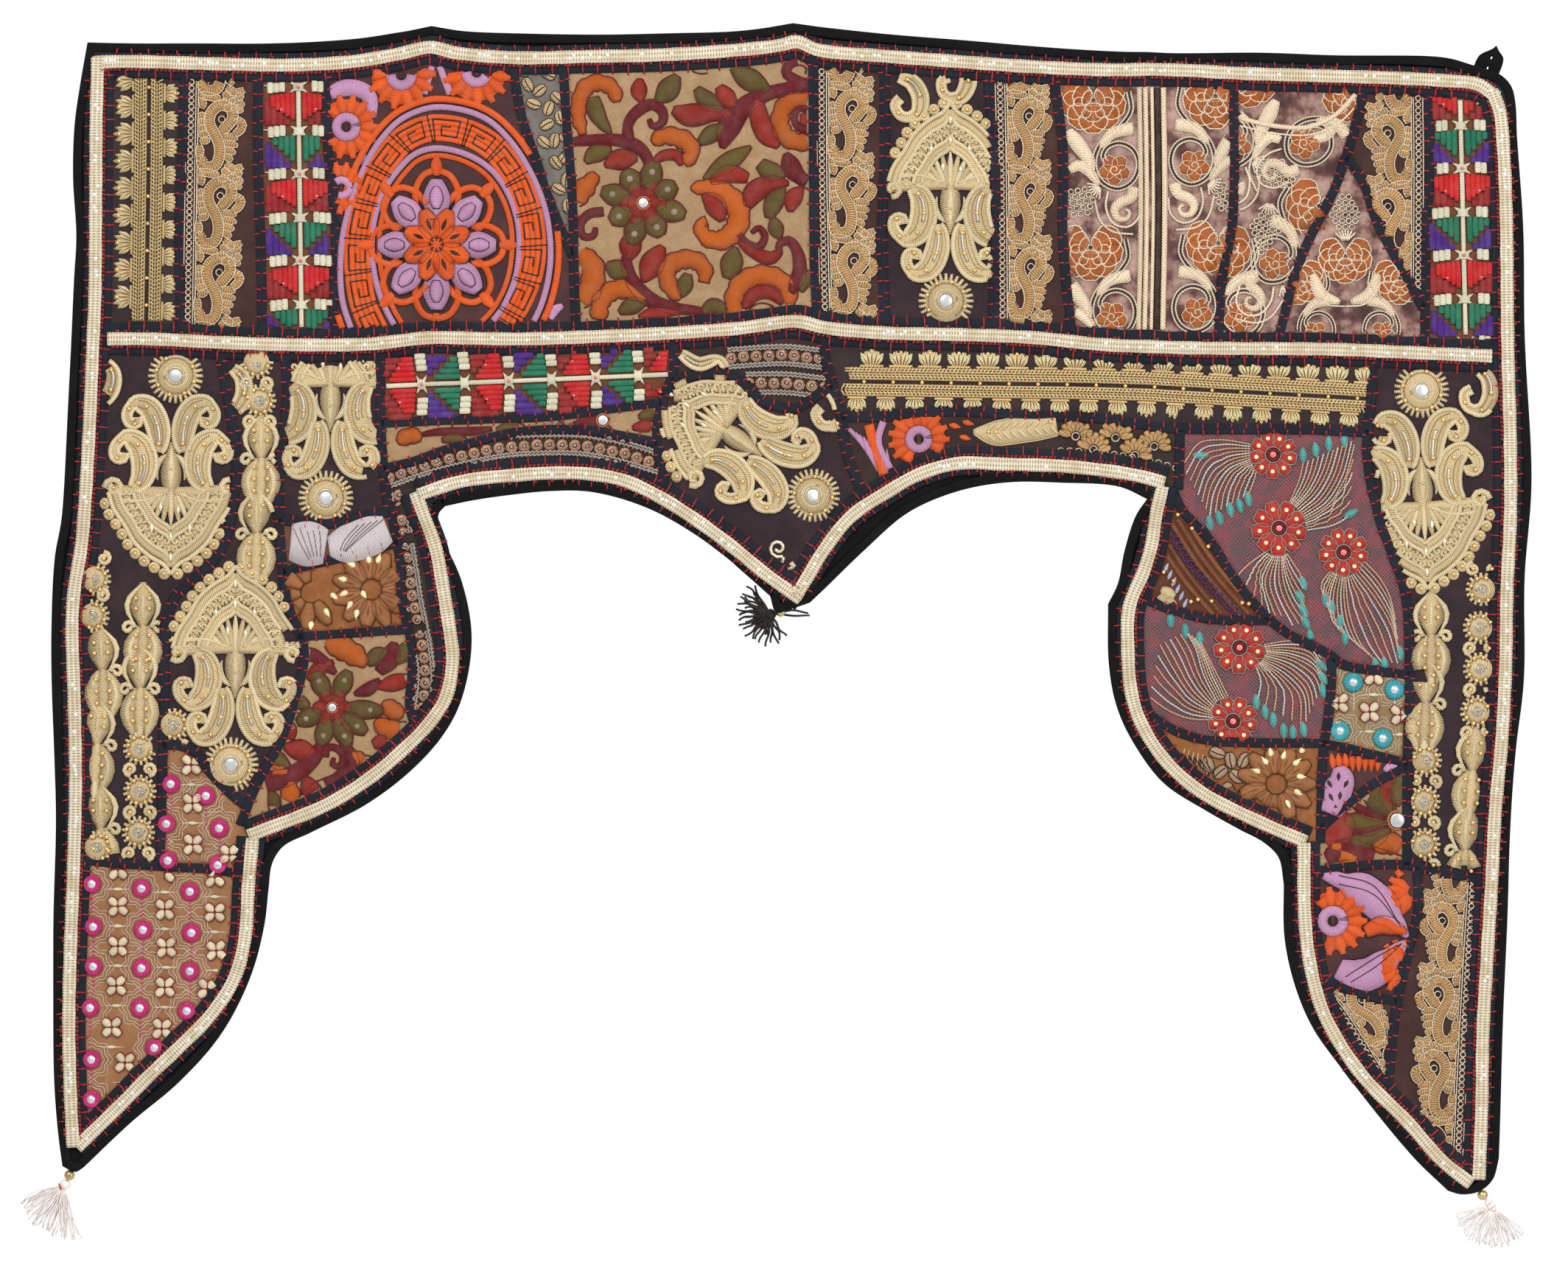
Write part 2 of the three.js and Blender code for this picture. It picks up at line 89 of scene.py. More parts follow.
floor_level = -0.98
bpy.ops.object.select_all(action="DESELECT")
bpy.ops.mesh.primitive_plane_add(size=1.7, location=(0, 0, floor_level))
floor = bpy.context.active_object
floor.name = "floor"


# Ground cloth. One black cotton backing is cut to the whole outline, and all the rest is sewn
# to it. It hangs in a few shallow folds and swings forward a little towards its points.
# Flat places are in millimetres, across and down, measured on the cloth laid on a table.
fold_across = 538.0
fold_down = 16.5
fold_rows = [
    # across, rise, reach
    (150, 3.0, 95), (293, 3.5, 16), (293, 2.5, 80), (538, 4.0, 18), (538, 3.5, 120),
    (779, 3.0, 16), (779, 2.5, 90), (925, 3.0, 80)]
sway_down = [0, 230, 345, 480, 640, 790, 880]
sway_push = [0, 1.0, 2.0, 4.5, 3.0, 6.5, 7.5]
ground_top = 2.0
outline_runs = [
    [(59, 28.5), (110, 29.5), (175, 29.5), (240, 26.5), (270, 22), (293, 18)],
    [(293, 18), (320, 21.5), (400, 23), (460, 22.5), (500, 21), (538, 16.5)],
    [(538, 16.5), (580, 21), (640, 26), (700, 31), (780, 36), (850, 35.5), (900, 37.5),
     (980, 39), (1001, 44.5)],
    [(1001, 44.5), (1018, 50), (1026, 58), (1029, 70), (1030, 90)],
    [(1030, 90), (1034, 150), (1035, 220), (1039.5, 327), (1035, 392), (1034, 460),
     (1028.6, 509), (1024.7, 568), (1022.5, 633), (1019, 716), (1016.5, 786)],
    [(1016.5, 786), (1012.5, 800), (1003.5, 808), (991, 810), (982, 807.5)],
    [(982, 807.5), (957.8, 784), (911, 726), (890, 696), (878, 666), (872, 636), (871.5, 600)],
    [(871.5, 600), (868, 582), (858, 572), (842, 563.5)],
    [(842, 563.5), (819, 550.6), (789, 531), (769.7, 505), (757.8, 479), (752.5, 450),
     (752, 410)],
    [(752, 410), (758.7, 396), (763.4, 373), (771, 350), (778.7, 338.6)],
    [(778.7, 338.6), (760, 330), (721, 327.5), (683, 327), (650, 333), (616, 348), (587, 373),
     (559, 400), (549.5, 409)],
    [(549.5, 409), (534, 414.3), (526.5, 415.8), (522.5, 404.5)],
    [(522.5, 404.5), (505, 389), (485, 372), (444, 346.5), (403, 334), (372.7, 333),
     (342, 336), (320, 339.5), (302, 343.5)],
    [(302, 343.5), (297.5, 349), (300, 365)],
    [(300, 365), (313.5, 395.5), (320, 434), (313, 475), (300, 500), (280, 522), (250, 545),
     (210, 565.5)],
    [(210, 565.5), (192, 574.5), (184.5, 586), (182, 604)],
    [(182, 604), (179, 629), (169.5, 664), (150, 702), (121.6, 734), (89.7, 761), (57, 792)],
    [(57, 792), (51.5, 795), (43, 791)],
    [(43, 791), (40, 767), (37, 727), (36.3, 640), (38, 560), (37, 510), (35, 429), (37, 379),
     (42, 350), (46.5, 260), (50, 190), (51.5, 160), (49, 120), (50, 85), (54, 57),
     (59, 28.5)],
]
ground_grid = 8.0


def relief(across, down):
    forward = np.interp(down, sway_down, sway_push)
    for ridge, rise, reach in fold_rows:
        forward = forward + rise * np.maximum(0, 1 - np.abs(across - ridge) / reach)
    return forward


crown = relief(fold_across, fold_down)


def settle(table):
    """Places on the table, with a height over the back of the cloth, as points in metres."""
    across, down, height = table.T
    forward = relief(across, down) - crown + height
    return np.column_stack([across - fold_across, -forward, fold_down - down]) / 1000


def smooth(points, step):
    """Evenly stepped places along the smooth curve through given points."""
    points = np.array(points, float)
    if len(points) == 2:
        count = max(2, round(np.hypot(*(points[1] - points[0])) / step) + 1)
        return points[0] + np.linspace(0, 1, count)[:, None] * (points[1] - points[0])
    reach = np.vstack([2 * points[0] - points[1], points, 2 * points[-1] - points[-2]])
    share = np.linspace(0, 1, 9)[:-1, None]
    bends = []
    for before, start, end, after in zip(reach, reach[1:], reach[2:], reach[3:]):
        gaps = [max(1e-4, np.hypot(*gap)) ** 0.5
                for gap in (start - before, end - start, after - end)]
        leave = gaps[1] * ((start - before) / gaps[0] - (end - before) / (gaps[0] + gaps[1])
                           + (end - start) / gaps[1])
        arrive = gaps[1] * ((end - start) / gaps[1] - (after - start) / (gaps[1] + gaps[2])
                            + (after - end) / gaps[2])
        span = end - start
        bends.append(start + leave * share + (3 * span - 2 * leave - arrive) * share ** 2
                     + (leave + arrive - 2 * span) * share ** 3)
    dense = np.vstack(bends + [points[-1:]])
    length = lengths(dense)
    count = max(3, round(length[-1] / step) + 1)
    even = np.linspace(0, length[-1], count)
    return np.column_stack([np.interp(even, length, dense[:, k]) for k in (0, 1)])


def beside(line):
    """Unit vectors to the side of each place of a line."""
    way = np.gradient(line, axis=0)
    way /= np.maximum(1e-9, np.hypot(*way.T))[:, None]
    return np.column_stack([-way[:, 1], way[:, 0]])


def offset(line, distance):
    return line + distance * beside(line)


def toward(degrees):
    """A step of one, turned by so many degrees from straight across."""
    angle = math.radians(degrees)
    return np.array([math.cos(angle), math.sin(angle)])


def circle(sides):
    """The corners of a round of radius one."""
    turn = np.arange(sides) * 2 * math.pi / sides
    return np.column_stack([np.cos(turn), np.sin(turn)])


def lengths(line):
    """How far along a line each of its places is."""
    return np.concatenate([[0], np.cumsum(np.hypot(*np.diff(line, axis=0).T))])


def tube(grid):
    """The faces between rows of points that each close on themselves."""
    turned = np.roll(grid, -1, axis=1)
    return np.dstack([grid[:-1], turned[:-1], turned[1:], grid[1:]]).reshape(-1, 4)


def colour(code):
    """A colour written as in a paint book, in the linear values that light uses."""
    parts = [int(code[k:k + 2], 16) / 255 for k in (1, 3, 5)]
    return tuple(((c + 0.055) / 1.055) ** 2.4 if c > 0.04 else c / 12.92 for c in parts)


def section(sides, squareness=1.0):
    """The closed outline of a thread, one wide and one high, from round to nearly square."""
    first = math.pi / (2 if sides % 2 else sides)
    turn = np.arange(sides) * 2 * math.pi / sides + first
    round_off = lambda wave: np.sign(wave) * np.abs(wave) ** squareness
    return np.column_stack([round_off(np.cos(turn)) / 2, 0.5 + round_off(np.sin(turn)) / 2])


round_section = section(5)
fine_section = section(3)
flat_section = section(8, 0.45)
soft_section = section(6, 0.5)
undyed = (0.5, 0.5, 0.5)


class Work:
    """Cloth, threads, cords or beads gathered into one mesh, each with its dye."""

    def __init__(self):
        self.points = []
        self.weave = []
        self.dyes = []
        self.faces = []
        self.count = 0

    def put(self, points, weave, dye, faces):
        self.points.append(points)
        self.weave.append(weave)
        self.dyes.append(np.broadcast_to(dye, (len(points), 3)))
        self.faces += [group + self.count for group in faces]
        self.count += len(points)

    def sweep(self, line, width, height, lift, dye, outline, closed=False):
        """A thread of any section laid along a line of places."""
        sides = len(outline)
        count = len(line)
        side = beside(np.vstack([line[-1], line, line[0]]))[1:-1] if closed else beside(line)
        width = np.broadcast_to(width, count)[:, None]
        height = np.broadcast_to(height, count)[:, None]
        lift = np.broadcast_to(lift, count)[:, None]
        out = width * outline[:, 0]
        up = lift + height * outline[:, 1]
        points = np.dstack([line[:, None, 0] + side[:, None, 0] * out,
                            line[:, None, 1] + side[:, None, 1] * out, up]).reshape(-1, 3)
        length = lengths(line)
        weave = np.dstack([np.repeat(length[:, None], sides, 1), out]).reshape(-1, 2)
        grid = np.arange(count * sides).reshape(count, sides)
        if closed:
            grid = np.vstack([grid, grid[:1]])
        ends = [] if closed else [grid[:1, ::-1], grid[-1:]]
        self.put(points, weave, dye, [tube(grid), *ends])

    def dome(self, centre, radius, height, lift, dye, sides=10, rings=(1, 0.94, 0.6),
             rises=(0, 0.45, 0.9)):
        """A round pad, bead or disc that stands on the cloth, closed below."""
        rim = circle(sides) * radius
        levels = [np.column_stack([rim * ring, np.full(sides, lift + height * rise)])
                  for ring, rise in zip(rings, rises)]
        flat = np.vstack(levels + [[[0, 0, lift + height]]])
        points = flat + [centre[0], centre[1], 0]
        grid = np.arange(sides * len(rings)).reshape(len(rings), sides)
        top = np.column_stack([grid[-1], np.roll(grid[-1], -1), np.full(sides, grid.size)])
        self.put(points, flat[:, :2], dye, [tube(grid), top, grid[:1, ::-1]])

    def piece(self, name, material, slot, body="root"):
        """The finished object, with a map of its weave and its dyes."""
        points, weave, dyes = (np.vstack(rows) for rows in (self.points, self.weave, self.dyes))
        corners = np.concatenate([group.ravel() for group in self.faces])
        sizes = np.concatenate([np.full(len(group), group.shape[1]) for group in self.faces])
        mesh = bpy.data.meshes.new(name)
        mesh.vertices.add(len(points))
        mesh.vertices.foreach_set("co", settle(points).ravel())
        mesh.loops.add(len(corners))
        mesh.loops.foreach_set("vertex_index", corners.astype(np.int32))
        mesh.polygons.add(len(sizes))
        starts = np.concatenate([[0], np.cumsum(sizes)[:-1]])
        mesh.polygons.foreach_set("loop_start", starts.astype(np.int32))
        mesh.polygons.foreach_set("use_smooth", np.ones(len(sizes), bool))
        mesh.update(calc_edges=True)
        layer = mesh.uv_layers.new(name="weave")
        layer.uv.foreach_set("vector", weave[corners].ravel().astype(np.float32))
        tint = mesh.color_attributes.new("dye", "FLOAT_COLOR", "POINT")
        tint.data.foreach_set("color", np.column_stack(
            [dyes, np.ones(len(dyes))]).ravel().astype(np.float32))
        mesh.materials.append(material)
        made = bpy.data.objects.new(name, mesh)
        bpy.context.collection.objects.link(made)
        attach(made, body)
        return made


class Shade:
    """A material's nodes, written as expressions: one of these stands for one socket."""

    def __init__(self, tree, socket=None):
        self.tree = tree
        self.socket = socket

    def node(self, kind, settings=None, inputs=None, output=0):
        made = self.tree.nodes.new(kind)
        for name, value in (settings or {}).items():
            if name == "stops":
                ramp = made.color_ramp
                ramp.elements[0].position, ramp.elements[-1].position = value[0][0], value[-1][0]
                for where, _ in value[1:-1]:
                    ramp.elements.new(where)
                for element, (_, tone) in zip(ramp.elements, value):
                    element.color = (*tone, 1)
            else:
                setattr(made, name, value)
        for name, value in (inputs or {}).items():
            self.feed(made.inputs[name], value)
        return Shade(self.tree, made.outputs[output])

    def feed(self, socket, value):
        if isinstance(value, Shade):
            self.tree.links.new(value.socket, socket)
        elif isinstance(value, tuple) and len(value) == 3 and socket.type == "RGBA":
            socket.default_value = (*value, 1)
        else:
            socket.default_value = value

    def math(self, operation, *values):
        return self.node("ShaderNodeMath", {"operation": operation}, dict(enumerate(values)))

    def __add__(self, other):
        return self.math("ADD", self, other)

    def __sub__(self, other):
        return self.math("SUBTRACT", self, other)

    def __rsub__(self, other):
        return self.math("SUBTRACT", other, self)

    def __mul__(self, other):
        return self.math("MULTIPLY", self, other)

    def part(self, which):
        """One of the three numbers of a place."""
        return self.node("ShaderNodeSeparateXYZ", inputs={0: self}, output=which)

    def wave(self):
        """A smooth wave from 0 to 1 that repeats at each whole number."""
        return self.math("SINE", self * (2 * math.pi)) * 0.5 + 0.5

    def mix(self, low, high):
        """One colour where this is 0 and another where it is 1."""
        return self.node("ShaderNodeMix", {"data_type": "RGBA"}, {0: self, 6: low, 7: high},
                         output=2)

    def between(self, low, high):
        """This mask made sharper: 0 up to low and 1 from high."""
        return self.node("ShaderNodeMapRange", {"interpolation_type": "SMOOTHSTEP"},
                         {"Value": self, "From Min": low, "From Max": high})

    __radd__ = __add__
    __rmul__ = __mul__


def finish(name, roughness, **sockets):
    """A new material with its own surface, and the expression that its nodes start from."""
    material = bpy.data.materials.new(name)
    material.use_nodes = True
    surface = material.node_tree.nodes["Principled BSDF"]
    surface.inputs["Roughness"].default_value = roughness
    for socket, value in sockets.items():
        surface.inputs[socket.replace("_", " ")].default_value = value
    return material, Shade(material.node_tree), surface


def across_and_down(shade):
    """Millimetres across and down the cloth, read from the piece itself."""
    place = shade.node("ShaderNodeTexCoord", output=3)
    return place.part(0) * 1000.0, place.part(2) * 1000.0


def along_and_out(shade):
    """Millimetres along a thread or ribbon and out from its middle."""
    place = shade.node("ShaderNodeUVMap", {"uv_map": "weave"})
    return place.part(0), place.part(1)


def dye_of(shade):
    return shade.node("ShaderNodeAttribute", {"attribute_name": "dye"}, output=0)


def speckle(shade, size, detail):
    """Cloudy noise from 0 to 1, with clouds of a size in millimetres."""
    place = shade.node("ShaderNodeTexCoord", output=3)
    return shade.node("ShaderNodeTexNoise", None, {
        "Vector": place, "Scale": 1000.0 / size, "Detail": detail, "Roughness": 0.6})


def raise_surface(shade, surface, height, depth):
    """A bump of a depth in millimetres, from a height between 0 and 1."""
    bump = shade.node("ShaderNodeBump", None, {
        "Height": height, "Strength": 1.0, "Distance": depth / 1000})
    shade.feed(surface.inputs["Normal"], bump)


def plain_weave(name, base, worn, pitch, depth=0.14, cloud=26.0, sheen=0.15):
    """Plain woven cotton: threads over and under each other, worn and faded in patches."""
    material, shade, surface = finish(name, 0.92, Sheen_Weight=sheen, Sheen_Roughness=0.6,
                                      Specular_IOR_Level=0.2)
    x, z = across_and_down(shade)
    warp = (x * (1 / pitch)).wave()
    weft = (z * (1 / pitch)).wave()
    cloth = warp * weft + (1 - warp) * (1 - weft)
    fade = speckle(shade, cloud, 4.0).between(0.35, 0.75)
    grain = speckle(shade, 1.6, 1.0)
    tone = fade.mix(base, worn)
    shaded = (cloth * 0.35 + grain * 0.5).mix(tone, tuple(c * 0.45 for c in base))
    shade.feed(surface.inputs["Base Color"], shaded)
    raise_surface(shade, surface, cloth * 0.7 + grain * 0.6, depth)
    return material


def regions(lines, seeds, grid):
    """Cuts the table along the lines, and gives the mesh of the field around each seed."""
    folds = sorted({a + side * reach for a, _, reach in fold_rows for side in (-1, 0, 1)})
    places = []
    edges = []
    for line in lines:
        first = len(places)
        for start, end in zip(line, line[1:]):
            places.append(tuple(start))
            crossed = [f for f in folds if min(start[0], end[0]) < f < max(start[0], end[0])]
            for f in sorted(crossed, reverse=bool(end[0] < start[0])):
                share = (f - start[0]) / (end[0] - start[0])
                places.append((f, start[1] + share * (end[1] - start[1])))
        places.append(tuple(line[-1]))
        edges += [(k, k + 1) for k in range(first, len(places) - 1)]
    columns = sorted({*folds, *np.arange(30, 1050, grid)})
    columns = [c for c, gap in zip(columns, np.diff([0, *columns])) if gap > 1 or c in folds]
    rows = sorted({*sway_down[1:-1], *np.arange(14, 820, grid)})
    places += [(c, r) for c in columns for r in rows]
    cut = delaunay_2d_cdt([Vector(p) for p in places], edges, [], 0, 1e-4)
    points = np.array([tuple(p) for p in cut[0]])
    walls = {tuple(sorted(edge)) for edge, source in zip(cut[1], cut[4]) if source}
    triangles = [tuple(face) for face in cut[2]]
    beyond = {}
    for k, face in enumerate(triangles):
        for a, b in zip(face, face[1:] + face[:1]):
            beyond.setdefault((min(a, b), max(a, b)), []).append(k)
    centres = points[np.array(triangles)].mean(axis=1)
    found = {}
    for name, seed in seeds.items():
        start = int(np.argmin(np.hypot(*(centres - seed).T)))
        field = {start}
        waiting = [start]
        while waiting:
            face = triangles[waiting.pop()]
            for a, b in zip(face, face[1:] + face[:1]):
                edge = (min(a, b), max(a, b))
                if edge not in walls:
                    fresh = [k for k in beyond[edge] if k not in field]
                    field.update(fresh)
                    waiting += fresh
        found[name] = points, np.array([triangles[k] for k in sorted(field)])
    return found


def lay(work, field, low, high):
    """Adds a closed sheet over a field of the table, and gives its area."""
    points, faces = field
    used, index = np.unique(faces, return_inverse=True)
    faces = index.reshape(-1, 3)
    flat = points[used]
    a, b, c = flat[faces].transpose(1, 0, 2)
    twice = (b - a)[:, 0] * (c - a)[:, 1] - (b - a)[:, 1] * (c - a)[:, 0]
    faces = np.where(twice[:, None] > 0, faces, faces[:, ::-1])
    count = len(flat)
    sheet = np.vstack([np.column_stack([flat, np.full(count, high)]),
                       np.column_stack([flat, np.full(count, low)])])
    rims = np.vstack([faces[:, [0, 1]], faces[:, [1, 2]], faces[:, [2, 0]]])
    codes = rims[:, 0] * count + rims[:, 1]
    edge = rims[~np.isin(codes, rims[:, 1] * count + rims[:, 0])]
    walls = np.column_stack([edge[:, 1], edge[:, 0], edge[:, 0] + count, edge[:, 1] + count])
    work.put(sheet, np.vstack([flat, flat]), undyed, [faces, faces[:, ::-1] + count, walls])
    return abs(twice).sum() / 2e6


def declare(area, cut):
    """Works out the smallest rectangle that a piece of cloth was cut from; the result is not used.

    A ribbon that was bent sideways as it was sewn down counts as straight."""
    flat = np.vstack(cut.points)[:, :2]
    best = None
    for turn in np.radians(np.arange(0, 90, 3)):
        across = flat @ (math.cos(turn), math.sin(turn))
        down = flat @ (-math.sin(turn), math.cos(turn))
        size = float(np.ptp(across)) / 1000, float(np.ptp(down)) / 1000
        if best is None or size[0] * size[1] < best[0] * best[1]:
            best = size
    if area < 0.35 * best[0] * best[1]:
        best = area / (0.9 * max(best)), max(best)


outline = np.vstack([smooth(run, 3.0)[:-1] for run in outline_runs])
black_cotton = plain_weave("black_cotton", colour("#0c0b0d"), colour("#151417"), 1.1, sheen=0.0)
ground_field = regions([np.vstack([outline, outline[:1]])], {"ground": (500, 150)},
                       ground_grid)["ground"]
work = Work()
ground_area = lay(work, ground_field, 0.0, ground_top)
ground = work.piece("ground", black_cotton, "black_cloth")
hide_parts("ground_cloth")


# Patches. Some forty pieces cut from older embroideries cover the ground, edge to edge. Each is
# a thin sheet of cloth that runs a little under the braids and the slate strips round it.
# The middle lines of those braids and strips are where one patch ends and the next begins.
lines = {
    "top": [(66, 42), (85, 41.5), (150, 43.5), (200, 44), (240, 41.5), (268, 37), (292, 32.5),
        (310, 36), (350, 39), (400, 38), (450, 37), (500, 34), (530, 31), (541, 29), (555, 34),
        (600, 38), (650, 41.5), (700, 45), (750, 47.3), (800, 47.5), (840, 49.5), (900, 51.5),
        (980, 54.5), (1003, 57), (1014, 64)],
    "right_upper": [(1014, 64), (1018, 75), (1020.5, 100), (1022.5, 150), (1023, 200),
        (1023.5, 242)],
    "right_lower": [(1023.5, 242), (1025, 300), (1025, 350), (1022.5, 400), (1021.5, 450),
        (1019, 500), (1014.5, 550), (1012, 600), (1009, 650), (1006, 700), (1005, 750),
        (1003, 797)],
    "right_leg": [(995, 801), (977.5, 787), (954.5, 761), (924.5, 730.5), (904, 700), (895, 680),
        (888, 650), (885, 620), (884.5, 575)],
    "right_lobe": [(883, 570), (856, 558.5), (814, 537), (789, 514.5), (773, 489), (767, 468),
        (765, 440), (766, 412), (776, 386.8), (781, 370), (784.5, 348), (788, 333)],
    "right_arch": [(787, 327), (774, 323.5), (758, 320.5), (723, 316.5), (680, 315), (650, 314.5),
        (624, 321.8), (602, 334), (577, 351), (558, 375), (549, 390), (541, 403)],
    "left_arch": [(541, 405), (520, 390), (495.5, 370), (471, 352), (447, 337), (423, 326),
        (398.5, 321.5), (374, 321), (350, 322.5), (314, 326.5), (287, 335)],
    "left_lobe": [(283, 337), (288, 350), (296, 372), (301, 399), (306, 431.5), (307.5, 447),
        (303, 473), (291.5, 491), (273, 509.6), (251, 528), (222, 546), (172, 566)],
    "left_leg": [(171.5, 572), (169, 600), (166.5, 637), (159.5, 663.6), (144, 688), (122.5, 710),
        (101, 730.5), (81, 750.8), (55, 776)],
    "left_lower": [(50, 775), (48.6, 750), (47, 700), (47.7, 650), (50, 590), (51.5, 530),
        (50.5, 470), (49, 425), (50.5, 400), (55, 372), (57, 350), (60, 300), (63, 230)],
    "left_upper": [(63, 230), (64.2, 200), (64.7, 130), (65, 80), (66, 42)],
    "middle": [(63, 230), (100, 230), (150, 232.5), (200, 234), (250, 233.5), (290, 229.5),
        (350, 230), (400, 228.5), (450, 226.3), (500, 223), (541, 218.5), (560, 222.5), (600, 226),
        (650, 227), (700, 229), (750, 234), (800, 236), (900, 237), (950, 239), (1023.5, 242)],
}
joins = {
    "join_gold_lace": [(125.5, 44), (123.5, 100), (121.5, 150), (122.5, 226)],
    "join_lace_cross": [(175, 44), (175, 100), (177.5, 200), (177.5, 228)],
    "join_cross_medallion": [(220, 44), (222, 100), (227, 150), (226, 205), (225, 228)],
    "join_medallion_net": [(347, 42), (355, 83), (363, 106), (371, 131), (388, 173)],
    "join_net_crewel": [(382, 42), (384, 80), (388, 130), (389.5, 185), (391, 224)],
    "join_crewel_lace": [(551.5, 36), (552, 100), (553, 190), (555, 218)],
    "join_lace_paisley": [(600, 40), (600.5, 100), (598.5, 165), (601, 222)],
    "join_paisley_lace": [(670, 44), (675, 110), (676, 150), (674, 224)],
    "join_lace_cutwork": [(715, 48), (721.5, 100), (721.5, 160), (727.5, 228)],
    "join_cutwork": [(837.5, 52), (836.7, 150), (829.4, 190), (827, 232)],
    "join_cutwork_wedge": [(926, 54), (921, 80), (907, 125), (883, 175), (867, 232)],
    "join_lace_cross_right": [(969, 56), (971, 110), (968.5, 150), (967, 234)],
    "join_wedge_lace": [(914, 106), (925.7, 125), (934.4, 150), (953, 185), (966, 209)],
    "join_mirrors": [(50, 583), (81, 586), (119.5, 588.5), (142, 589.5), (168, 594)],
    "join_fans": [(149, 236), (153, 262), (160, 305), (159.5, 335), (151, 372), (136, 390),
        (120, 404), (113.5, 420), (111.5, 485), (110, 545), (108.7, 588)],
    "join_fan_patches": [(193, 238), (195, 262), (189, 330), (190.5, 370), (195.5, 410),
        (206.5, 441), (201.5, 470), (191.5, 501), (175.5, 530), (163, 560)],
    "join_under_fan": [(110.5, 506), (122, 506), (133, 511), (142, 523), (153, 535), (166.5, 547)],
    "join_long_left": [(258, 236), (258.5, 290), (262, 334), (268, 362), (272, 385), (272.5, 405),
        (279.5, 440), (279.5, 460), (278, 478), (284, 500)],
    "join_satin_top": [(189, 353), (220, 356), (240, 352), (265, 347)],
    "join_satin_bottom": [(192, 388), (216, 382), (250, 374), (270, 368)],
    "join_copper_crewel": [(202, 432), (240, 429.5), (277, 427)],
    "join_centre_left": [(457, 230), (457, 250), (446.5, 283), (446, 303), (452, 334)],
    "join_cross_crewel": [(258.5, 287), (335, 284), (374, 282.5), (422, 276), (449, 273)],
    "join_crewel_sequins": [(260, 318), (284, 312), (307, 304), (352, 293), (398, 292), (446, 300)],
    "join_centre_right": [(557, 226), (563, 256), (571, 281), (574, 305), (586, 338)],
    "join_centre_top": [(455, 258.5), (470, 255), (490, 253.5), (502, 258), (512, 268), (524, 275),
        (540, 277), (552, 270), (564.5, 261)],
    "join_leg_top": [(884, 593), (911, 588.5), (950, 586.5), (978, 591.6), (1008, 598)],
    "join_right_fan": [(929, 238), (931, 262), (927.5, 308), (935.5, 350), (953, 401), (956, 430),
        (956, 478), (954.5, 520), (954.5, 587)],
    "join_gold_below": [(571, 282.5), (592, 283.3), (641, 279), (700, 282), (746, 284),
        (793, 290.5), (886, 291.5), (928.5, 293.5)],
    "join_net_corner": [(801, 291.5), (800, 332)],
    "join_net_left": [(797, 336), (803, 347), (820, 365), (836, 390), (855, 414), (874, 430),
        (900, 443), (911, 451), (924, 454), (956, 458)],
    "join_net_lower": [(768, 403), (793, 413), (821, 420), (862, 421)],
    "join_mirror_left": [(903.5, 447), (903, 466), (901, 489), (897.5, 510), (896, 572)],
    "join_net_bottom": [(778, 484), (800, 497), (821, 502.5), (899, 504.5)],
    "join_mirror_bottom": [(899, 504.5), (923, 510), (955, 518)],
    "join_suzani_crewel": [(896.5, 562), (909, 550), (932, 532), (954, 520.5)],
    "join_leg_side": [(961.5, 588.5), (962.5, 617), (956, 644), (948.5, 676), (943.5, 712),
        (941, 742)],
    "join_leg_low": [(892, 658), (911, 669.5), (934, 676.8), (948, 679)],
}
seeds = {
    "gold_upper": (100, 130), "lace_1": (150, 130), "cross_left": (200, 140),
    "medallion": (290, 150), "net_wedge": (372, 80), "crewel_upper": (470, 120),
    "lace_2": (576, 120), "paisley_upper": (635, 130), "lace_3": (697, 130),
    "cutwork_1": (780, 130), "cutwork_2": (880, 100), "cutwork_3": (912, 190),
    "lace_4": (945, 120), "cross_right": (990, 140),
    "fan_left": (90, 350), "fan_inner": (165, 420), "paisley_small": (225, 290),
    "satin": (225, 368), "copper_left": (230, 400), "crewel_left": (230, 470),
    "sequins_left": (280, 400), "mirrors_upper": (135, 560), "mirrors_lower": (100, 660),
    "cross_centre": (350, 260), "crewel_wedge": (290, 298), "sequins_arch": (380, 306),
    "fan_centre": (510, 320), "sequins_centre": (520, 242), "gold_lower": (750, 262),
    "scrolls": (700, 300), "net_upper": (880, 340), "rust": (805, 385), "net_lower": (840, 460),
    "mirrors_right": (930, 485), "copper_right": (850, 530), "suzani_right": (912, 530),
    "crewel_right": (935, 570), "suzani_leg": (920, 625), "lace_leg": (980, 640),
    "lace_low": (925, 695), "fan_right": (980, 400)}
patch_grid = 9.0
patch_low = ground_top + 0.03
patch_top = 2.6
corner_walls = [[(896, 572), (878, 600)], [(163, 560), (178, 572)],
                [(255, 331), (291, 332), (297, 341)], [(778, 484), (763, 479)],
                [(784, 329), (803, 335)]]


def run_on(line, distance):
    """The same line, carried straight on past both its ends."""
    ends = []
    for end, before in ((line[0], line[1]), (line[-1], line[-2])):
        way = (end - before) / max(1e-6, np.hypot(*(end - before)))
        ends.append(end + way * distance)
    return np.vstack([ends[0], line, ends[1]])


border = np.vstack([smooth(points, 6.0) for name, points in lines.items() if name != "middle"])
walls = [np.vstack([border, border[:1]]), run_on(smooth(lines["middle"], 8.0), 2.0)]
walls += [run_on(smooth(points, 6.0), 10.0) for points in joins.values()]
walls += [np.array(wall, float) for wall in corner_walls]
fields = regions(walls, seeds, patch_grid)


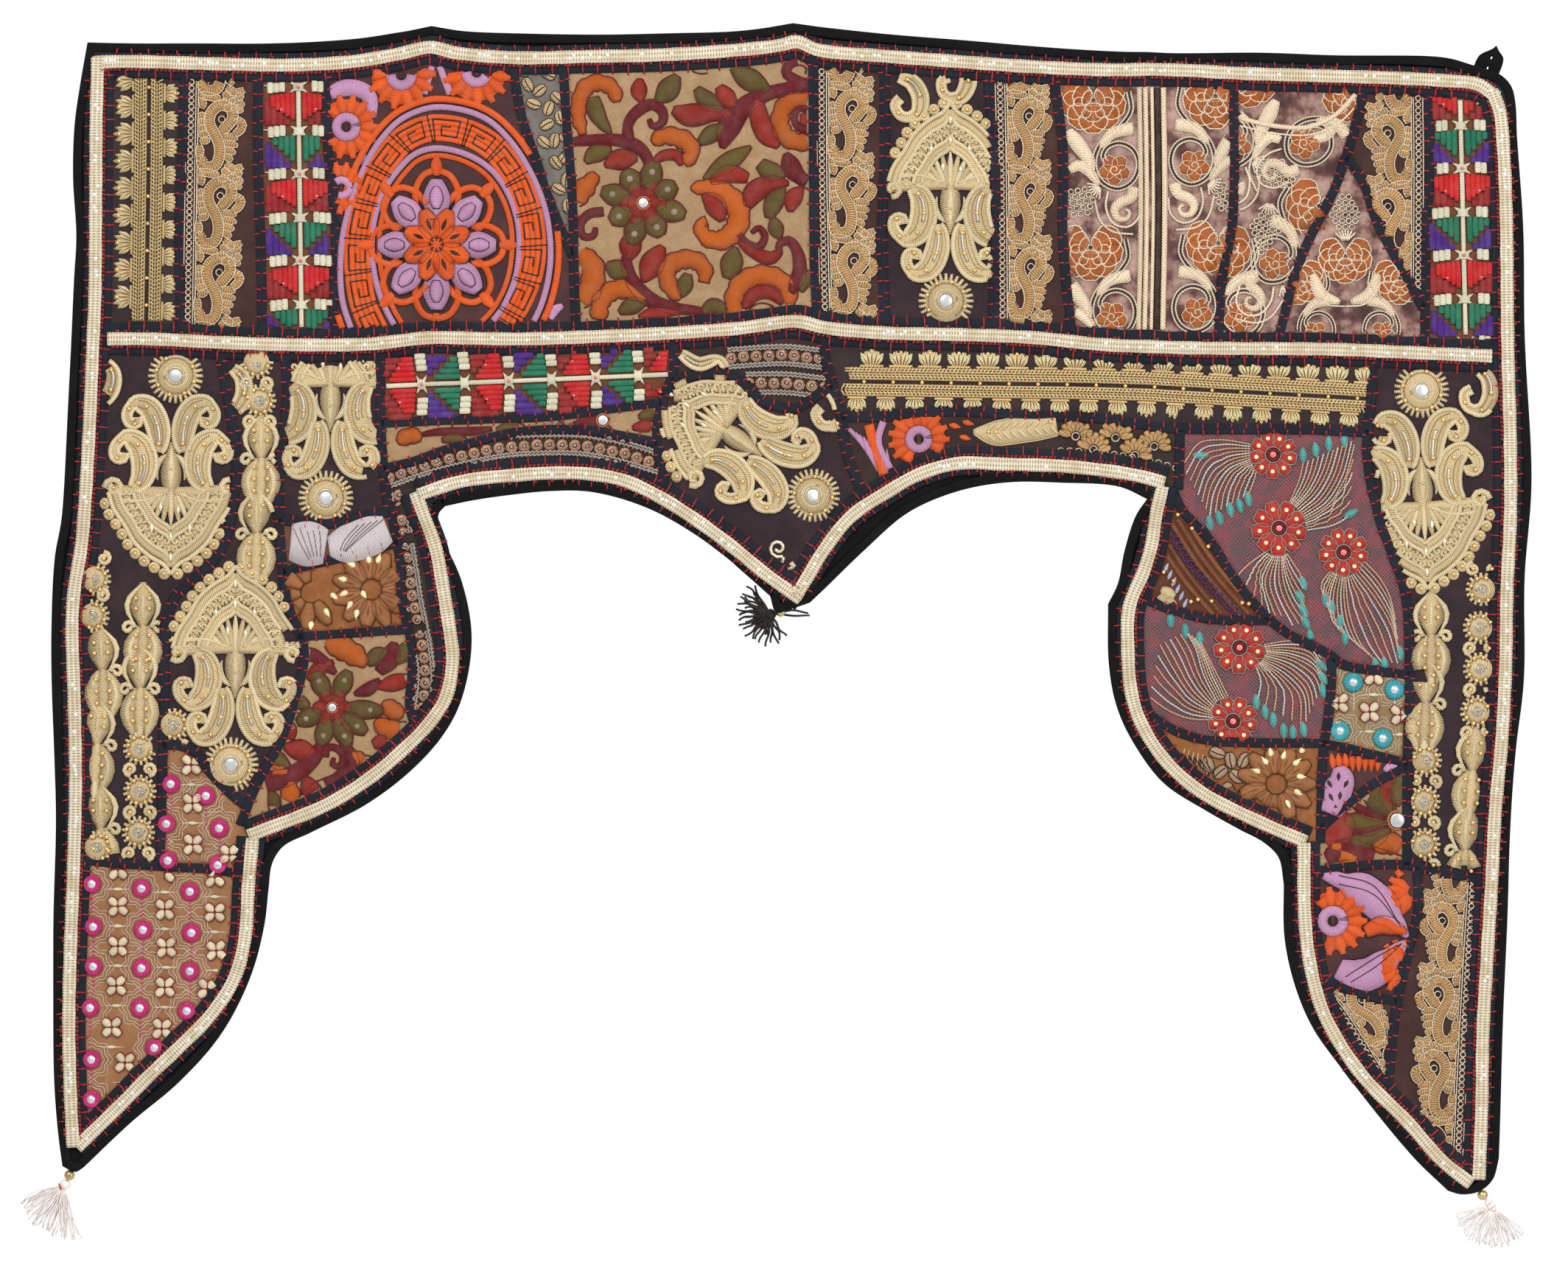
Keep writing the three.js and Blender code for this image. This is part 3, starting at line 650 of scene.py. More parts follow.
def patch(name, dress):
    """The cloth of one patch; the size it was cut to is worked out but not used."""
    cut = Work()
    area = lay(cut, fields[name], patch_low, patch_top)
    made = cut.piece("patch_" + name, dress, "patch_cloth")
    declare(area, cut)


# Embroidery keeps inside its own patch and clear of the strips: a map of the table, one cell
# to a millimetre, says which patch lies open at each place.
table_across, table_down = 1100, 900
open_cloth = np.full((table_down, table_across), -1)
numbers = {name: number for number, name in enumerate(seeds)}
under_strip = 2.9
under_band = 11.0


def mark(places, radius):
    """Takes a strip of some half width out of the open cloth."""
    reach = int(radius) + 1
    offsets = np.arange(-reach, reach + 1)
    for across, down in places:
        columns, rows = int(across) + offsets, int(down) + offsets
        near = np.hypot(columns[None, :] - across, rows[:, None] - down) < radius
        part = open_cloth[rows[0]:rows[-1] + 1, columns[0]:columns[-1] + 1]
        part[near] = -1


for name, number in numbers.items():
    points, triangles = fields[name]
    for corners in points[triangles]:
        low = np.floor(corners.min(axis=0)).astype(int)
        high = np.ceil(corners.max(axis=0)).astype(int)
        grid = np.stack(np.meshgrid(np.arange(low[0], high[0] + 1),
                                    np.arange(low[1], high[1] + 1)), axis=-1)
        if np.cross(corners[1] - corners[0], corners[2] - corners[0]) < 0:
            corners = corners[::-1]
        inside = np.ones(grid.shape[:2], bool)
        for start, end in zip(corners, np.roll(corners, -1, axis=0)):
            way = end - start
            turned = way[0] * (grid[..., 1] - start[1]) - way[1] * (grid[..., 0] - start[0])
            inside &= turned >= -0.5 * np.hypot(*way)
        if not inside.any():
            continue
        view = open_cloth[low[1]:high[1] + 1, low[0]:high[0] + 1]
        view[inside] = number
for wall in walls[2:-len(corner_walls)]:
    mark(smooth(wall, 1.5), under_strip)
for run in (np.vstack([border, border[:1]]), smooth(lines["middle"], 3.0)):
    mark(np.vstack([start + (end - start) * share for start, end in zip(run, run[1:])
                    for share in (0, 0.33, 0.67)]), under_band)


def lies_open(name, places):
    """Whether each place is on the open part of a patch."""
    across, down = np.rint(np.asarray(places, float)).astype(int).T
    cells = np.clip(down, 0, table_down - 1), np.clip(across, 0, table_across - 1)
    return open_cloth[cells] == numbers[name]


# Embroidery threads. Every thread is laid on a patch and sewn down: satin stitches in floss,
# twisted cords couched in rows, and metal thread. The stripes are the stitches or the twist,
# with painted shade darkening the grooves between them.
thread_lift = 2.45
chance = np.random.default_rng(7)


def thread(name, pitch, depth, groove_shade, lean=0.0, roughness=0.62):
    """Dyed thread with stitches a pitch apart, in millimetres, leaning across its width."""
    material, shade, surface = finish(name, roughness, Sheen_Weight=0.03, Specular_IOR_Level=0.2)
    dye = dye_of(shade)
    u, v = along_and_out(shade)
    grain = speckle(shade, 1.3, 1.0)
    stitches = (u * (1 / pitch) + v * (lean / pitch) + grain * 0.5).wave()
    fade = speckle(shade, 9.0, 3.0).between(0.3, 0.8)
    tone = (fade * 0.07).mix(dye, (0.75, 0.66, 0.5))
    # Painted shade: the colour is darkened in the grooves between the stitches, where shade would
    # fall.
    dark = ((1 - stitches) * groove_shade + grain * 0.2).mix(tone, (0.02, 0.012, 0.01))
    shade.feed(surface.inputs["Base Color"], dark)
    raise_surface(shade, surface, stitches * 0.8 + grain * 0.3, depth)
    return material


def worn(dye, spread=0.12):
    """The same dye, a little lighter or darker from one thread to the next."""
    return tuple(np.clip(np.array(dye) * (1 + chance.uniform(-spread, spread)), 0, 1))


class Stitching(Work):
    """Embroidery on one patch: leaves, rings, coils and free lines of thread."""

    def __init__(self, patch_name):
        super().__init__()
        self.patch_name = patch_name
        self.base = (0.0, 0.0), 0.0, 1.0, 1

    def at(self, place=(0.0, 0.0), turn=0.0, size=1.0, flip=1):
        """Sets where the next stitches are drawn from, turned in degrees."""
        self.base = place, math.radians(turn), size, flip
        return self

    def placed(self, path):
        (across, down), turn, size, flip = self.base
        x, y = np.asarray(path, float).reshape(-1, 2).T * size
        x = x * flip
        c, s = math.cos(turn), math.sin(turn)
        return np.column_stack([across + c * x - s * y, down + s * x + c * y])

    def lay(self, path, width, height, lift, dye, outline=round_section):
        """Sews down each stretch of a line that lies on the open patch."""
        path = self.placed(path)
        width = np.broadcast_to(width, len(path)) * self.base[2]
        height = np.broadcast_to(height, len(path))
        shown = np.concatenate([[False], lies_open(self.patch_name, path), [False]])
        turns = np.flatnonzero(np.diff(shown.astype(int)))
        dye = worn(dye)
        for first, last in zip(turns[::2], turns[1::2]):
            if last - first > 2 or (last - first == len(path) and len(path) > 1):
                run = slice(first, last)
                self.sweep(path[run], width[run], height[run], lift, dye, outline)

    def line(self, points, width, dye, height, lift=thread_lift, step=2.2,
             outline=round_section):
        self.lay(smooth(points, step / self.base[2]), width, height, lift, dye, outline)

    def leaf(self, start, end, width, dye, bend=0.0, height=1.2, lift=thread_lift, tip=0.15,
             belly=0.85, steps=7, outline=round_section):
        start, end = np.array(start, float), np.array(end, float)
        way = end - start
        share = np.linspace(0, 1, steps)
        path = start + way * share[:, None] + np.array([-way[1], way[0]]) * (
            bend * np.sin(math.pi * share))[:, None]
        swell = np.maximum(tip, np.sin(math.pi * share ** belly))
        self.lay(path, width * swell, height * (0.4 + 0.6 * swell), lift, dye, outline)

    def shape(self, spine, widths, dye, rim=None, height=0.9, lift=thread_lift, scallop=0.0,
              rim_width=1.1, step=2.2, rims=None):
        """A filled shape along a spine, with a line of stitches round it."""
        reach = np.hypot(*np.diff(np.array(spine, float), axis=0).T).sum()
        path = smooth(spine, min(step / self.base[2], reach / 8))
        share = np.linspace(0, len(widths) - 1, len(path))
        low = np.minimum(share.astype(int), len(widths) - 2)
        near, far = np.array(widths, float)[low], np.array(widths, float)[low + 1]
        part = (share - low) * math.pi / 2
        half = (near + (far - near) * np.where(far > near, np.sin(part), 1 - np.cos(part))) / 2
        half = half + scallop * np.abs(np.sin(np.arange(len(path)) * 0.8))
        self.lay(path, 2 * half, height, lift, dye, soft_section)
        if rim is not None:
            side = beside(path) * half[:, None]
            round_it = np.vstack([path + side, (path - side)[::-1], path[:1] + side[:1]])
            (rims or self).lay(round_it, rim_width / self.base[2], height + 0.35, lift, rim,
                               fine_section)

    def oval(self, start, end, width, dye, rim=None, height=1.0, lift=thread_lift, **how):
        """A round-ended petal from its foot to its tip, widest beyond the middle."""
        start, end = np.array(start, float), np.array(end, float)
        spine = [start, start + (end - start) * 0.62, end]
        self.shape(spine, [width * 0.45, width, width * 0.4], dye, rim, height, lift, **how)

    def ring(self, centre, radius, width, dye, height=1.0, lift=thread_lift, sides=12,
             outline=fine_section):
        path = circle(sides) * radius + np.array(centre)
        if lies_open(self.patch_name, self.placed(path)).all():
            self.sweep(self.placed(path), width * self.base[2], height, lift, worn(dye), outline,
                       closed=True)
        else:
            self.lay(np.vstack([path, path[:1]]), width, height, lift, dye, outline)

    def coil(self, centre, radius, width, dye, turns=1.4, start=0.0, way=1, height=1.3):
        """A cord wound inwards to a quarter of its radius, starting at an angle in degrees."""
        share = np.linspace(0, 1, max(8, int(10 * turns)))
        angle = math.radians(start) + way * share * turns * 2 * math.pi
        reach = radius * (1 - 0.75 * share)
        path = np.array(centre) + np.column_stack([np.cos(angle), np.sin(angle)]) * reach[:, None]
        self.lay(path, width, height, thread_lift, dye)

    def pad(self, centre, radius, dye, height=1.4, lift=thread_lift, sides=10, **shape):
        """A round of thread, a bead, a sequin or a mirror."""
        place = self.placed([centre])[0]
        if lies_open(self.patch_name, [place])[0]:
            self.dome(place, radius * self.base[2], height, lift, worn(dye), sides, **shape)

    def bloom(self, centre, inner, outer, width, dye, count, first=0.0, spread=360.0, **how):
        """Petals round a centre, from an inner to an outer radius."""
        centre = np.array(centre, float)
        for k in range(count):
            share = k / (count if spread == 360 else count - 1)
            way = toward(first + spread * share)
            self.leaf(centre + way * inner, centre + way * outer, width, dye, **how)

    def sew(self, name, dress, slot):
        """Makes the piece, if any of its stitches lie on the patch."""
        if self.points:
            self.piece(name, dress, slot)


def track(points):
    """Gives places beside a curve from a distance along it and a distance to its side."""
    path = smooth(points, 2.0)
    side = beside(path)
    length = lengths(path)

    def at(places):
        along, out = np.array(places, float).reshape(-1, 2).T
        base = [np.interp(along, length, path[:, k]) + out * np.interp(along, length, side[:, k])
                for k in (0, 1)]
        return np.column_stack(base)

    def row(out, step):
        steps = np.arange(0, length[-1], step)
        return at(np.column_stack([steps, np.full(len(steps), out)]))

    at.length, at.row = length[-1], row
    return at


satin_floss = thread("satin_floss", 1.1, depth=0.3, groove_shade=0.3)
gold_thread = thread("gold_thread", 1.5, lean=0.7, depth=0.4, roughness=0.5, groove_shade=0.36)
twisted_cord = thread("twisted_cord", 1.5, lean=0.5, depth=0.35, groove_shade=0.34)
chain_stitch = thread("chain_stitch", 1.25, lean=-1.15, depth=0.28, groove_shade=0.42)
cotton_yarn = thread("cotton_yarn", 2.0, lean=0.8, depth=0.3, groove_shade=0.3)


def bright(name, roughness, metallic, **sockets):
    """Beads, sequins and mirrors: shiny, in the colour of each one's dye."""
    material, shade, surface = finish(name, roughness, Metallic=metallic, **sockets)
    dye = dye_of(shade)
    cloud = speckle(shade, 2.2, 2.0)
    shade.feed(surface.inputs["Base Color"], (cloud * 0.35).mix(dye, (0.9, 0.88, 0.84)))
    shade.feed(surface.inputs["Roughness"], cloud * 0.2 + roughness)
    raise_surface(shade, surface, cloud, 0.05)
    return material


bead_gloss = bright("bead_gloss", 0.16, 0.0, Coat_Weight=0.5)
gilt_gloss = bright("gilt_gloss", 0.2, 0.75)
bright_silver = bright("bright_silver", 0.22, 0.7)


# Gold bands. Two strips of an old gold-thread border: woven braids side by side with a row of
# gilt beads between them, and a row of stitched lotus buds along each edge.
gold_dyes = colour("#d8bb80"), colour("#eed8a4")
shadow_gold = colour("#8a6a3a")
gilt = colour("#ecbc58")
lotus_pitch = {"gold_upper": 18.5, "gold_lower": 19.7}
gold_lines = {
    "gold_upper": [(101, 50), (100.5, 120), (99, 222)],
    "gold_lower": [(930, 271), (850, 266.5), (760, 262), (680, 260.5), (571, 259)],
}
gold_ground = plain_weave("gold_ground", colour("#2f2226"), colour("#43332f"), 1.0)
for name, points in gold_lines.items():
    patch(name, gold_ground)
    at = track(points)
    # Painted light: the lower band's gold is made about a third brighter, standing in for the
    # stronger light on the right side of the cloth.
    fresh = (1.34, 1.24, 1.26) if name == "gold_lower" else (1, 1, 1)
    gold, pale_gold = (tuple(np.multiply(dye, fresh)) for dye in gold_dyes)
    work, beads = Stitching(name), Stitching(name)
    for side_from, side_to in ((1.6, 10.2), (-9.4, -1.2)):
        for row in np.arange(side_from + 0.6, side_to, 1.75):
            work.line(at.row(row, 3.0), 1.8, gold, 1.5, step=3.0, outline=fine_section)
        for k in np.arange(1, at.length - 1, 2.6):
            for edge_from, edge_to in ((side_from, side_from + 4.0), (side_to, side_to - 4.0)):
                work.line(at([(k, edge_from), (k + 2.2, edge_to)]), 1.5, pale_gold, 2.3, step=5.0,
                          outline=fine_section)
    pitch = lotus_pitch[name]
    for k in np.arange(pitch * 0.2, at.length, pitch):
        for base, tip, wide, small in ((11.0, 24.5, 1.0, 0.0), (-10.6, -21.0, 0.8, pitch / 2)):
            s = k + small
            if s > at.length - 5:
                continue
            reach = tip - base
            for spread, far, size in ((-7.6, 0.66, 4.8), (7.6, 0.66, 4.8), (-4.4, 0.88, 5.2),
                                      (4.4, 0.88, 5.2), (0.0, 1.0, 5.6)):
                foot, top = at([(s + spread * 0.3, base), (s + spread * wide, base + reach * far)])
                work.leaf(foot, top, size * wide, pale_gold, height=1.7, belly=1.0)
                work.leaf(foot, top, size * wide * 0.3, shadow_gold, height=2.0)
            work.line(at([(s - 8 * wide, base), (s + 8 * wide, base)]), 1.7, gold, 1.8)
            beads.pad(at([(s, base + reach * 0.7)])[0], 1.5 * wide, gilt, 2.0, 3.0, 8)
    for k in np.arange(9, at.length, pitch):
        beads.pad(at([(k, 0.2)])[0], 1.5, gilt, 2.4, 2.8, 8)
    work.sew("bands_" + name, gold_thread, "metal_cord")
    beads.sew("beads_" + name, gilt_gloss, "gilt_bead")


# Corded paisley panels. Cream cord is sewn in rows on aubergine cloth: a fan with a scalloped
# edge, four paisleys under it and a rosette with a small mirror. The same old border was cut
# up and set at different angles, so one drawing serves them all.
cream_cord = colour("#dcc392")
pale_cord = colour("#ead6a9")
shadow_cord = colour("#9c7d4c")
silver = colour("#b3aa98")
pearl = colour("#f0e6c0")
mirror_grey = colour("#c9ccce")
aubergine = plain_weave("aubergine", colour("#2b1c22"), colour("#412b30"), 1.2)
trees = {
    # patch: centre across, centre down, turn, size
    "paisley_upper": (645, 125, 0, 1.0), "fan_left": (116, 334, 180, 1.0),
    "fan_inner": (160, 440, 0, 1.0), "paisley_small": (224, 259, 0, 1.0),
    "fan_centre": (490, 291, -56, 0.97), "fan_right": (966, 344, 177, 1.0)}
fan_edge = [(0, -59), (5, -52), (15, -46), (26, -36), (33, -24), (41, -12), (45, 0)]
upper_comma = [(26, 2), (20, 9), (18, 20), (22, 32), (31, 37), (38, 31), (38, 24), (33, 23),
               (32, 27)]
lower_comma = [(9, 27), (8, 36), (10, 48), (16, 58), (25, 60), (30, 53), (28, 47), (23, 47),
               (23, 51)]
mirror_form = {"rings": (1, 0.97, 0.8), "rises": (0, 0.6, 1.0)}


def bead(beads, place, lift=4.2):
    beads.pad(place, 1.6, gilt, 2.0, lift, 6)


def scaled(points, across, down):
    return [(x * across, y * down) for x, y in points]


def paisley(cord, metal, beads, points, wide, thin=5.2):
    """A comma of cord: a fat head, a raised rim, and a tail that ends in a coil."""
    path = smooth(points, 2.0)
    share = np.linspace(0, 1, len(path))
    swell = thin + (wide - thin) * np.sin(math.pi * np.minimum(1, share / 0.66)) ** 0.6
    swell = np.minimum(swell, 7 + 80 * share)
    cord.lay(path, swell, 1.6, thread_lift, cream_cord, soft_section)
    for side in (-0.42, 0.42):
        rim = path + beside(path) * (side * swell)[:, None]
        cord.lay(rim, 3.4, 2.4, thread_lift, pale_cord)
        inner = path + beside(path) * (side * 0.42 * swell)[:, None]
        cord.lay(inner[2:int(len(path) * 0.6)], 1.3, 2.2, thread_lift, shadow_cord, fine_section)
    middle = path[int(len(path) * 0.1):int(len(path) * 0.4)]
    metal.lay(middle, 2.6, 2.7, thread_lift, silver)
    for place in path[3::7]:
        bead(beads, place)


def rosette(cord, metal, beads, centre, radius, mirror=4.6):
    """Buttonhole stitches round a disc of cord, with a mirror or a coil in the middle."""
    cord.pad(centre, radius * 0.82, cream_cord, 1.8, sides=20, rings=(1, 0.95), rises=(0, 0.8))
    teeth = int(radius * 1.6)
    cord.bloom(centre, radius * 0.7, radius * 1.04, 3.7, pale_cord, teeth, height=2.2,
               steps=4, tip=0.7, outline=fine_section)
    cord.ring(centre, radius * 0.68, 1.0, shadow_cord, 2.3, sides=18)
    cord.ring(centre, radius * 0.43, 2.6, pale_cord, 2.4, sides=16)
    metal.ring(centre, mirror + 1.1, 1.6, silver, 2.9, sides=14)
    if mirror > 3.5:
        metal.pad(centre, mirror, mirror_grey, 0.7, 3.9, 14, **mirror_form)
    else:
        metal.coil(centre, mirror, 1.2, silver, 2.0, height=3.0)
    for k in range(8):
        angle = k * math.pi / 4 + 0.3
        place = np.array(centre) + radius * 0.74 * np.array([math.cos(angle), math.sin(angle)])
        bead(beads, place, 4.0)


def paisley_tree(cord, metal, beads):
    for side in (-1, 1):
        edge = scaled(fan_edge, side, 1)
        for scale, width, tall in ((0.95, 3.2, 2.5), (0.86, 5.4, 1.9), (0.79, 3.0, 2.3),
                                   (0.57, 3.0, 2.3), (0.5, 5.0, 1.8), (0.44, 3.0, 2.4)):
            cord.line(scaled(edge, scale, scale), width, pale_cord if tall > 2 else cream_cord,
                      tall)
        cord.line([(side * 2, 0), (side * 22, 1), (side * 40, 2)], 7.0, cream_cord, 1.8)
        for place in scaled(smooth(edge, 7.6)[1:-1], 1.06, 1.05):
            cord.pad(place, 4.2, cream_cord, 1.7, sides=10)
            cord.coil(place, 3.2, 2.2, pale_cord, 0.9, height=2.3)
            bead(beads, place)
        cord.line(scaled(edge, 0.69, 0.69), 8.5, cream_cord, 1.0)
        for scale, start in ((0.64, 1), (0.73, 0)):
            for place in smooth(scaled(edge, scale, scale), 5.4)[start:]:
                cord.coil(place, 2.2, 2.0, pale_cord, 0.85, start=90 + 60 * side, way=side,
                          height=2.2)
        cord.coil((side * 39, 3), 6.6, 4.4, pale_cord, 1.2, start=0 if side > 0 else 180,
                  way=side, height=2.2)
        beads.pad((side * 39, 3), 1.3, gilt, 2.0, 4.0, 8)
        cord.leaf((side * 6, 2), (side * 33, 4), 8.0, cream_cord, bend=-0.12 * side, height=2.0)
        cord.line([(side * 5, -1), (side * 20, -6), (side * 36, -5)], 2.2, pale_cord, 2.4)
        cord.leaf((side * 3, 26), (side * 9, 8), 5.0, pale_cord, bend=0.2 * side, height=2.0)
        paisley(cord, metal, beads, scaled(upper_comma, side, 1), 19.0, 6.0)
        paisley(cord, metal, beads, scaled(lower_comma, side, 1), 17.0, 6.0)
    for k in range(-5, 6):
        angle = math.radians(k * 14)
        cord.leaf((4 * math.sin(angle), 4), (27 * math.sin(angle), -26 * math.cos(angle)), 4.6,
                  cream_cord if k % 2 else pale_cord, height=1.9)
    for x, y in ((0, -30), (-13, -24), (13, -24), (-5, -12), (7, -10), (0, -44)):
        metal.leaf((x, y - 3.2), (x, y + 3.2), 3.2, pearl, height=2.2, lift=3.4)
    cord.leaf((0, -6), (0, 34), 15.0, cream_cord, height=1.6)
    cord.leaf((0, 2), (0, 30), 6.0, pale_cord, height=2.6)
    beads.pad((0, 16), 1.2, gilt, 1.8, 4.6, 6)
    rosette(cord, metal, beads, (-3, 79), 18.0)


def spindle(cord, beads):
    """A pointed bud over a pair of leaves, one link of the long chains."""
    cord.leaf((0, -3), (0, 29), 21.0, cream_cord, height=1.6)
    for side in (-1, 1):
        cord.leaf((0, -2), (side * 3, 29), 4.0, pale_cord, bend=-0.3 * side, height=2.5)
        cord.coil((side * 10, 28), 4.4, 3.4, pale_cord, 1.1, start=180 if side > 0 else 0,
                  way=side, height=2.4)
        cord.leaf((side * 3, 27), (side * 3, 62), 12.0, cream_cord, bend=-0.14 * side, height=1.8)
        cord.leaf((side * 3, 29), (side * 3, 58), 4.0, pale_cord, bend=-0.2 * side, height=2.6)
        for down in (8, 15, 33, 41, 49):
            bead(beads, (side * 4.6, down))
    cord.leaf((0, 4), (0, 23), 3.6, pale_cord, height=2.6)
    cord.leaf((0, 24), (0, 64), 13.0, cream_cord, height=1.5)
    cord.leaf((0, 50), (0, 68), 5.5, pale_cord, height=1.8)


def small_rosette(cord, metal, beads):
    """A coil in a scalloped round, with a pair of curls under it."""
    rosette(cord, metal, beads, (0, 0), 11.0, 2.6)
    for side in (-1, 1):
        cord.coil((side * 6.4, 14), 4.6, 3.4, pale_cord, 1.2, start=90, way=-side, height=2.2)
        bead(beads, (side * 6.4, 14))


links = {
    # patch: what it is, across, down, turn
    "fan_left": [("spindle", 97, 398, 0), ("spindle", 95, 440, 0), ("rosette", 95, 508, 0),
                 ("rosette", 95, 537, 0), ("rosette", 94, 565, 0), ("rosette", 64, 393, 180),
                 ("rosette", 63, 418, 180), ("spindle", 68, 428, -3), ("spindle", 67, 478, 3),
                 ("spindle", 68, 535, 0), ("rosette", 66, 575, 0), ("half", 72, 246, 20)],
    "fan_inner": [("rosette", 174, 246, 0), ("rosette", 176, 272, 0), ("spindle", 177, 284, 0),
                  ("spindle", 174, 335, 0), ("half", 158, 250, 5), ("rosette", 118, 492, 0)],
    "fan_right": [("spindle", 971, 404, 0), ("spindle", 968, 450, 2), ("rosette", 967, 516, 0),
                  ("rosette", 966, 544, 0), ("rosette", 966, 573, 0), ("rosette", 1006, 400, 180),
                  ("rosette", 1004, 426, 0), ("rosette", 1004, 454, 0), ("rosette", 1002, 483, 0),
                  ("spindle", 1001, 496, 4), ("spindle", 995, 550, 2), ("half", 1003, 250, 0)],
    "paisley_upper": [("half", 610, 52, -20), ("half", 648, 38, 0)],
    "fan_centre": [("half", 556, 262, -20), ("curl", 528, 372, 0), ("half", 538, 380, 0)],
}
for name, (across, down, turn, size) in trees.items():
    patch(name, aubergine)
    cord, metal, beads = Stitching(name), Stitching(name), Stitching(name)
    for worker in (cord, metal, beads):
        worker.at((across, down), turn, size)
    paisley_tree(cord, metal, beads)
    for what, across, down, turn in links.get(name, []):
        for worker in (cord, metal, beads):
            worker.at((across, down), turn)
        if what == "spindle":
            spindle(cord, beads)
        elif what == "rosette":
            small_rosette(cord, metal, beads)
        elif what == "half":
            paisley(cord, metal, beads, [(0, 0), (7, 6), (9, 18), (3, 28), (-7, 26), (-9, 17),
                                         (-4, 14)], 11.0)
        else:
            metal.coil((0, 0), 6.5, 2.6, pale_cord, 1.3, start=60, height=1.6)
            metal.line([(4, 6), (2, 14), (14, 12), (20, 8)], 2.6, silver, 1.6)
    cord.sew("cords_" + name, twisted_cord, "metal_cord")
    metal.sew("silver_" + name, bright_silver, "mirror_glass")
    beads.sew("beads_" + name, gilt_gloss, "gilt_bead")


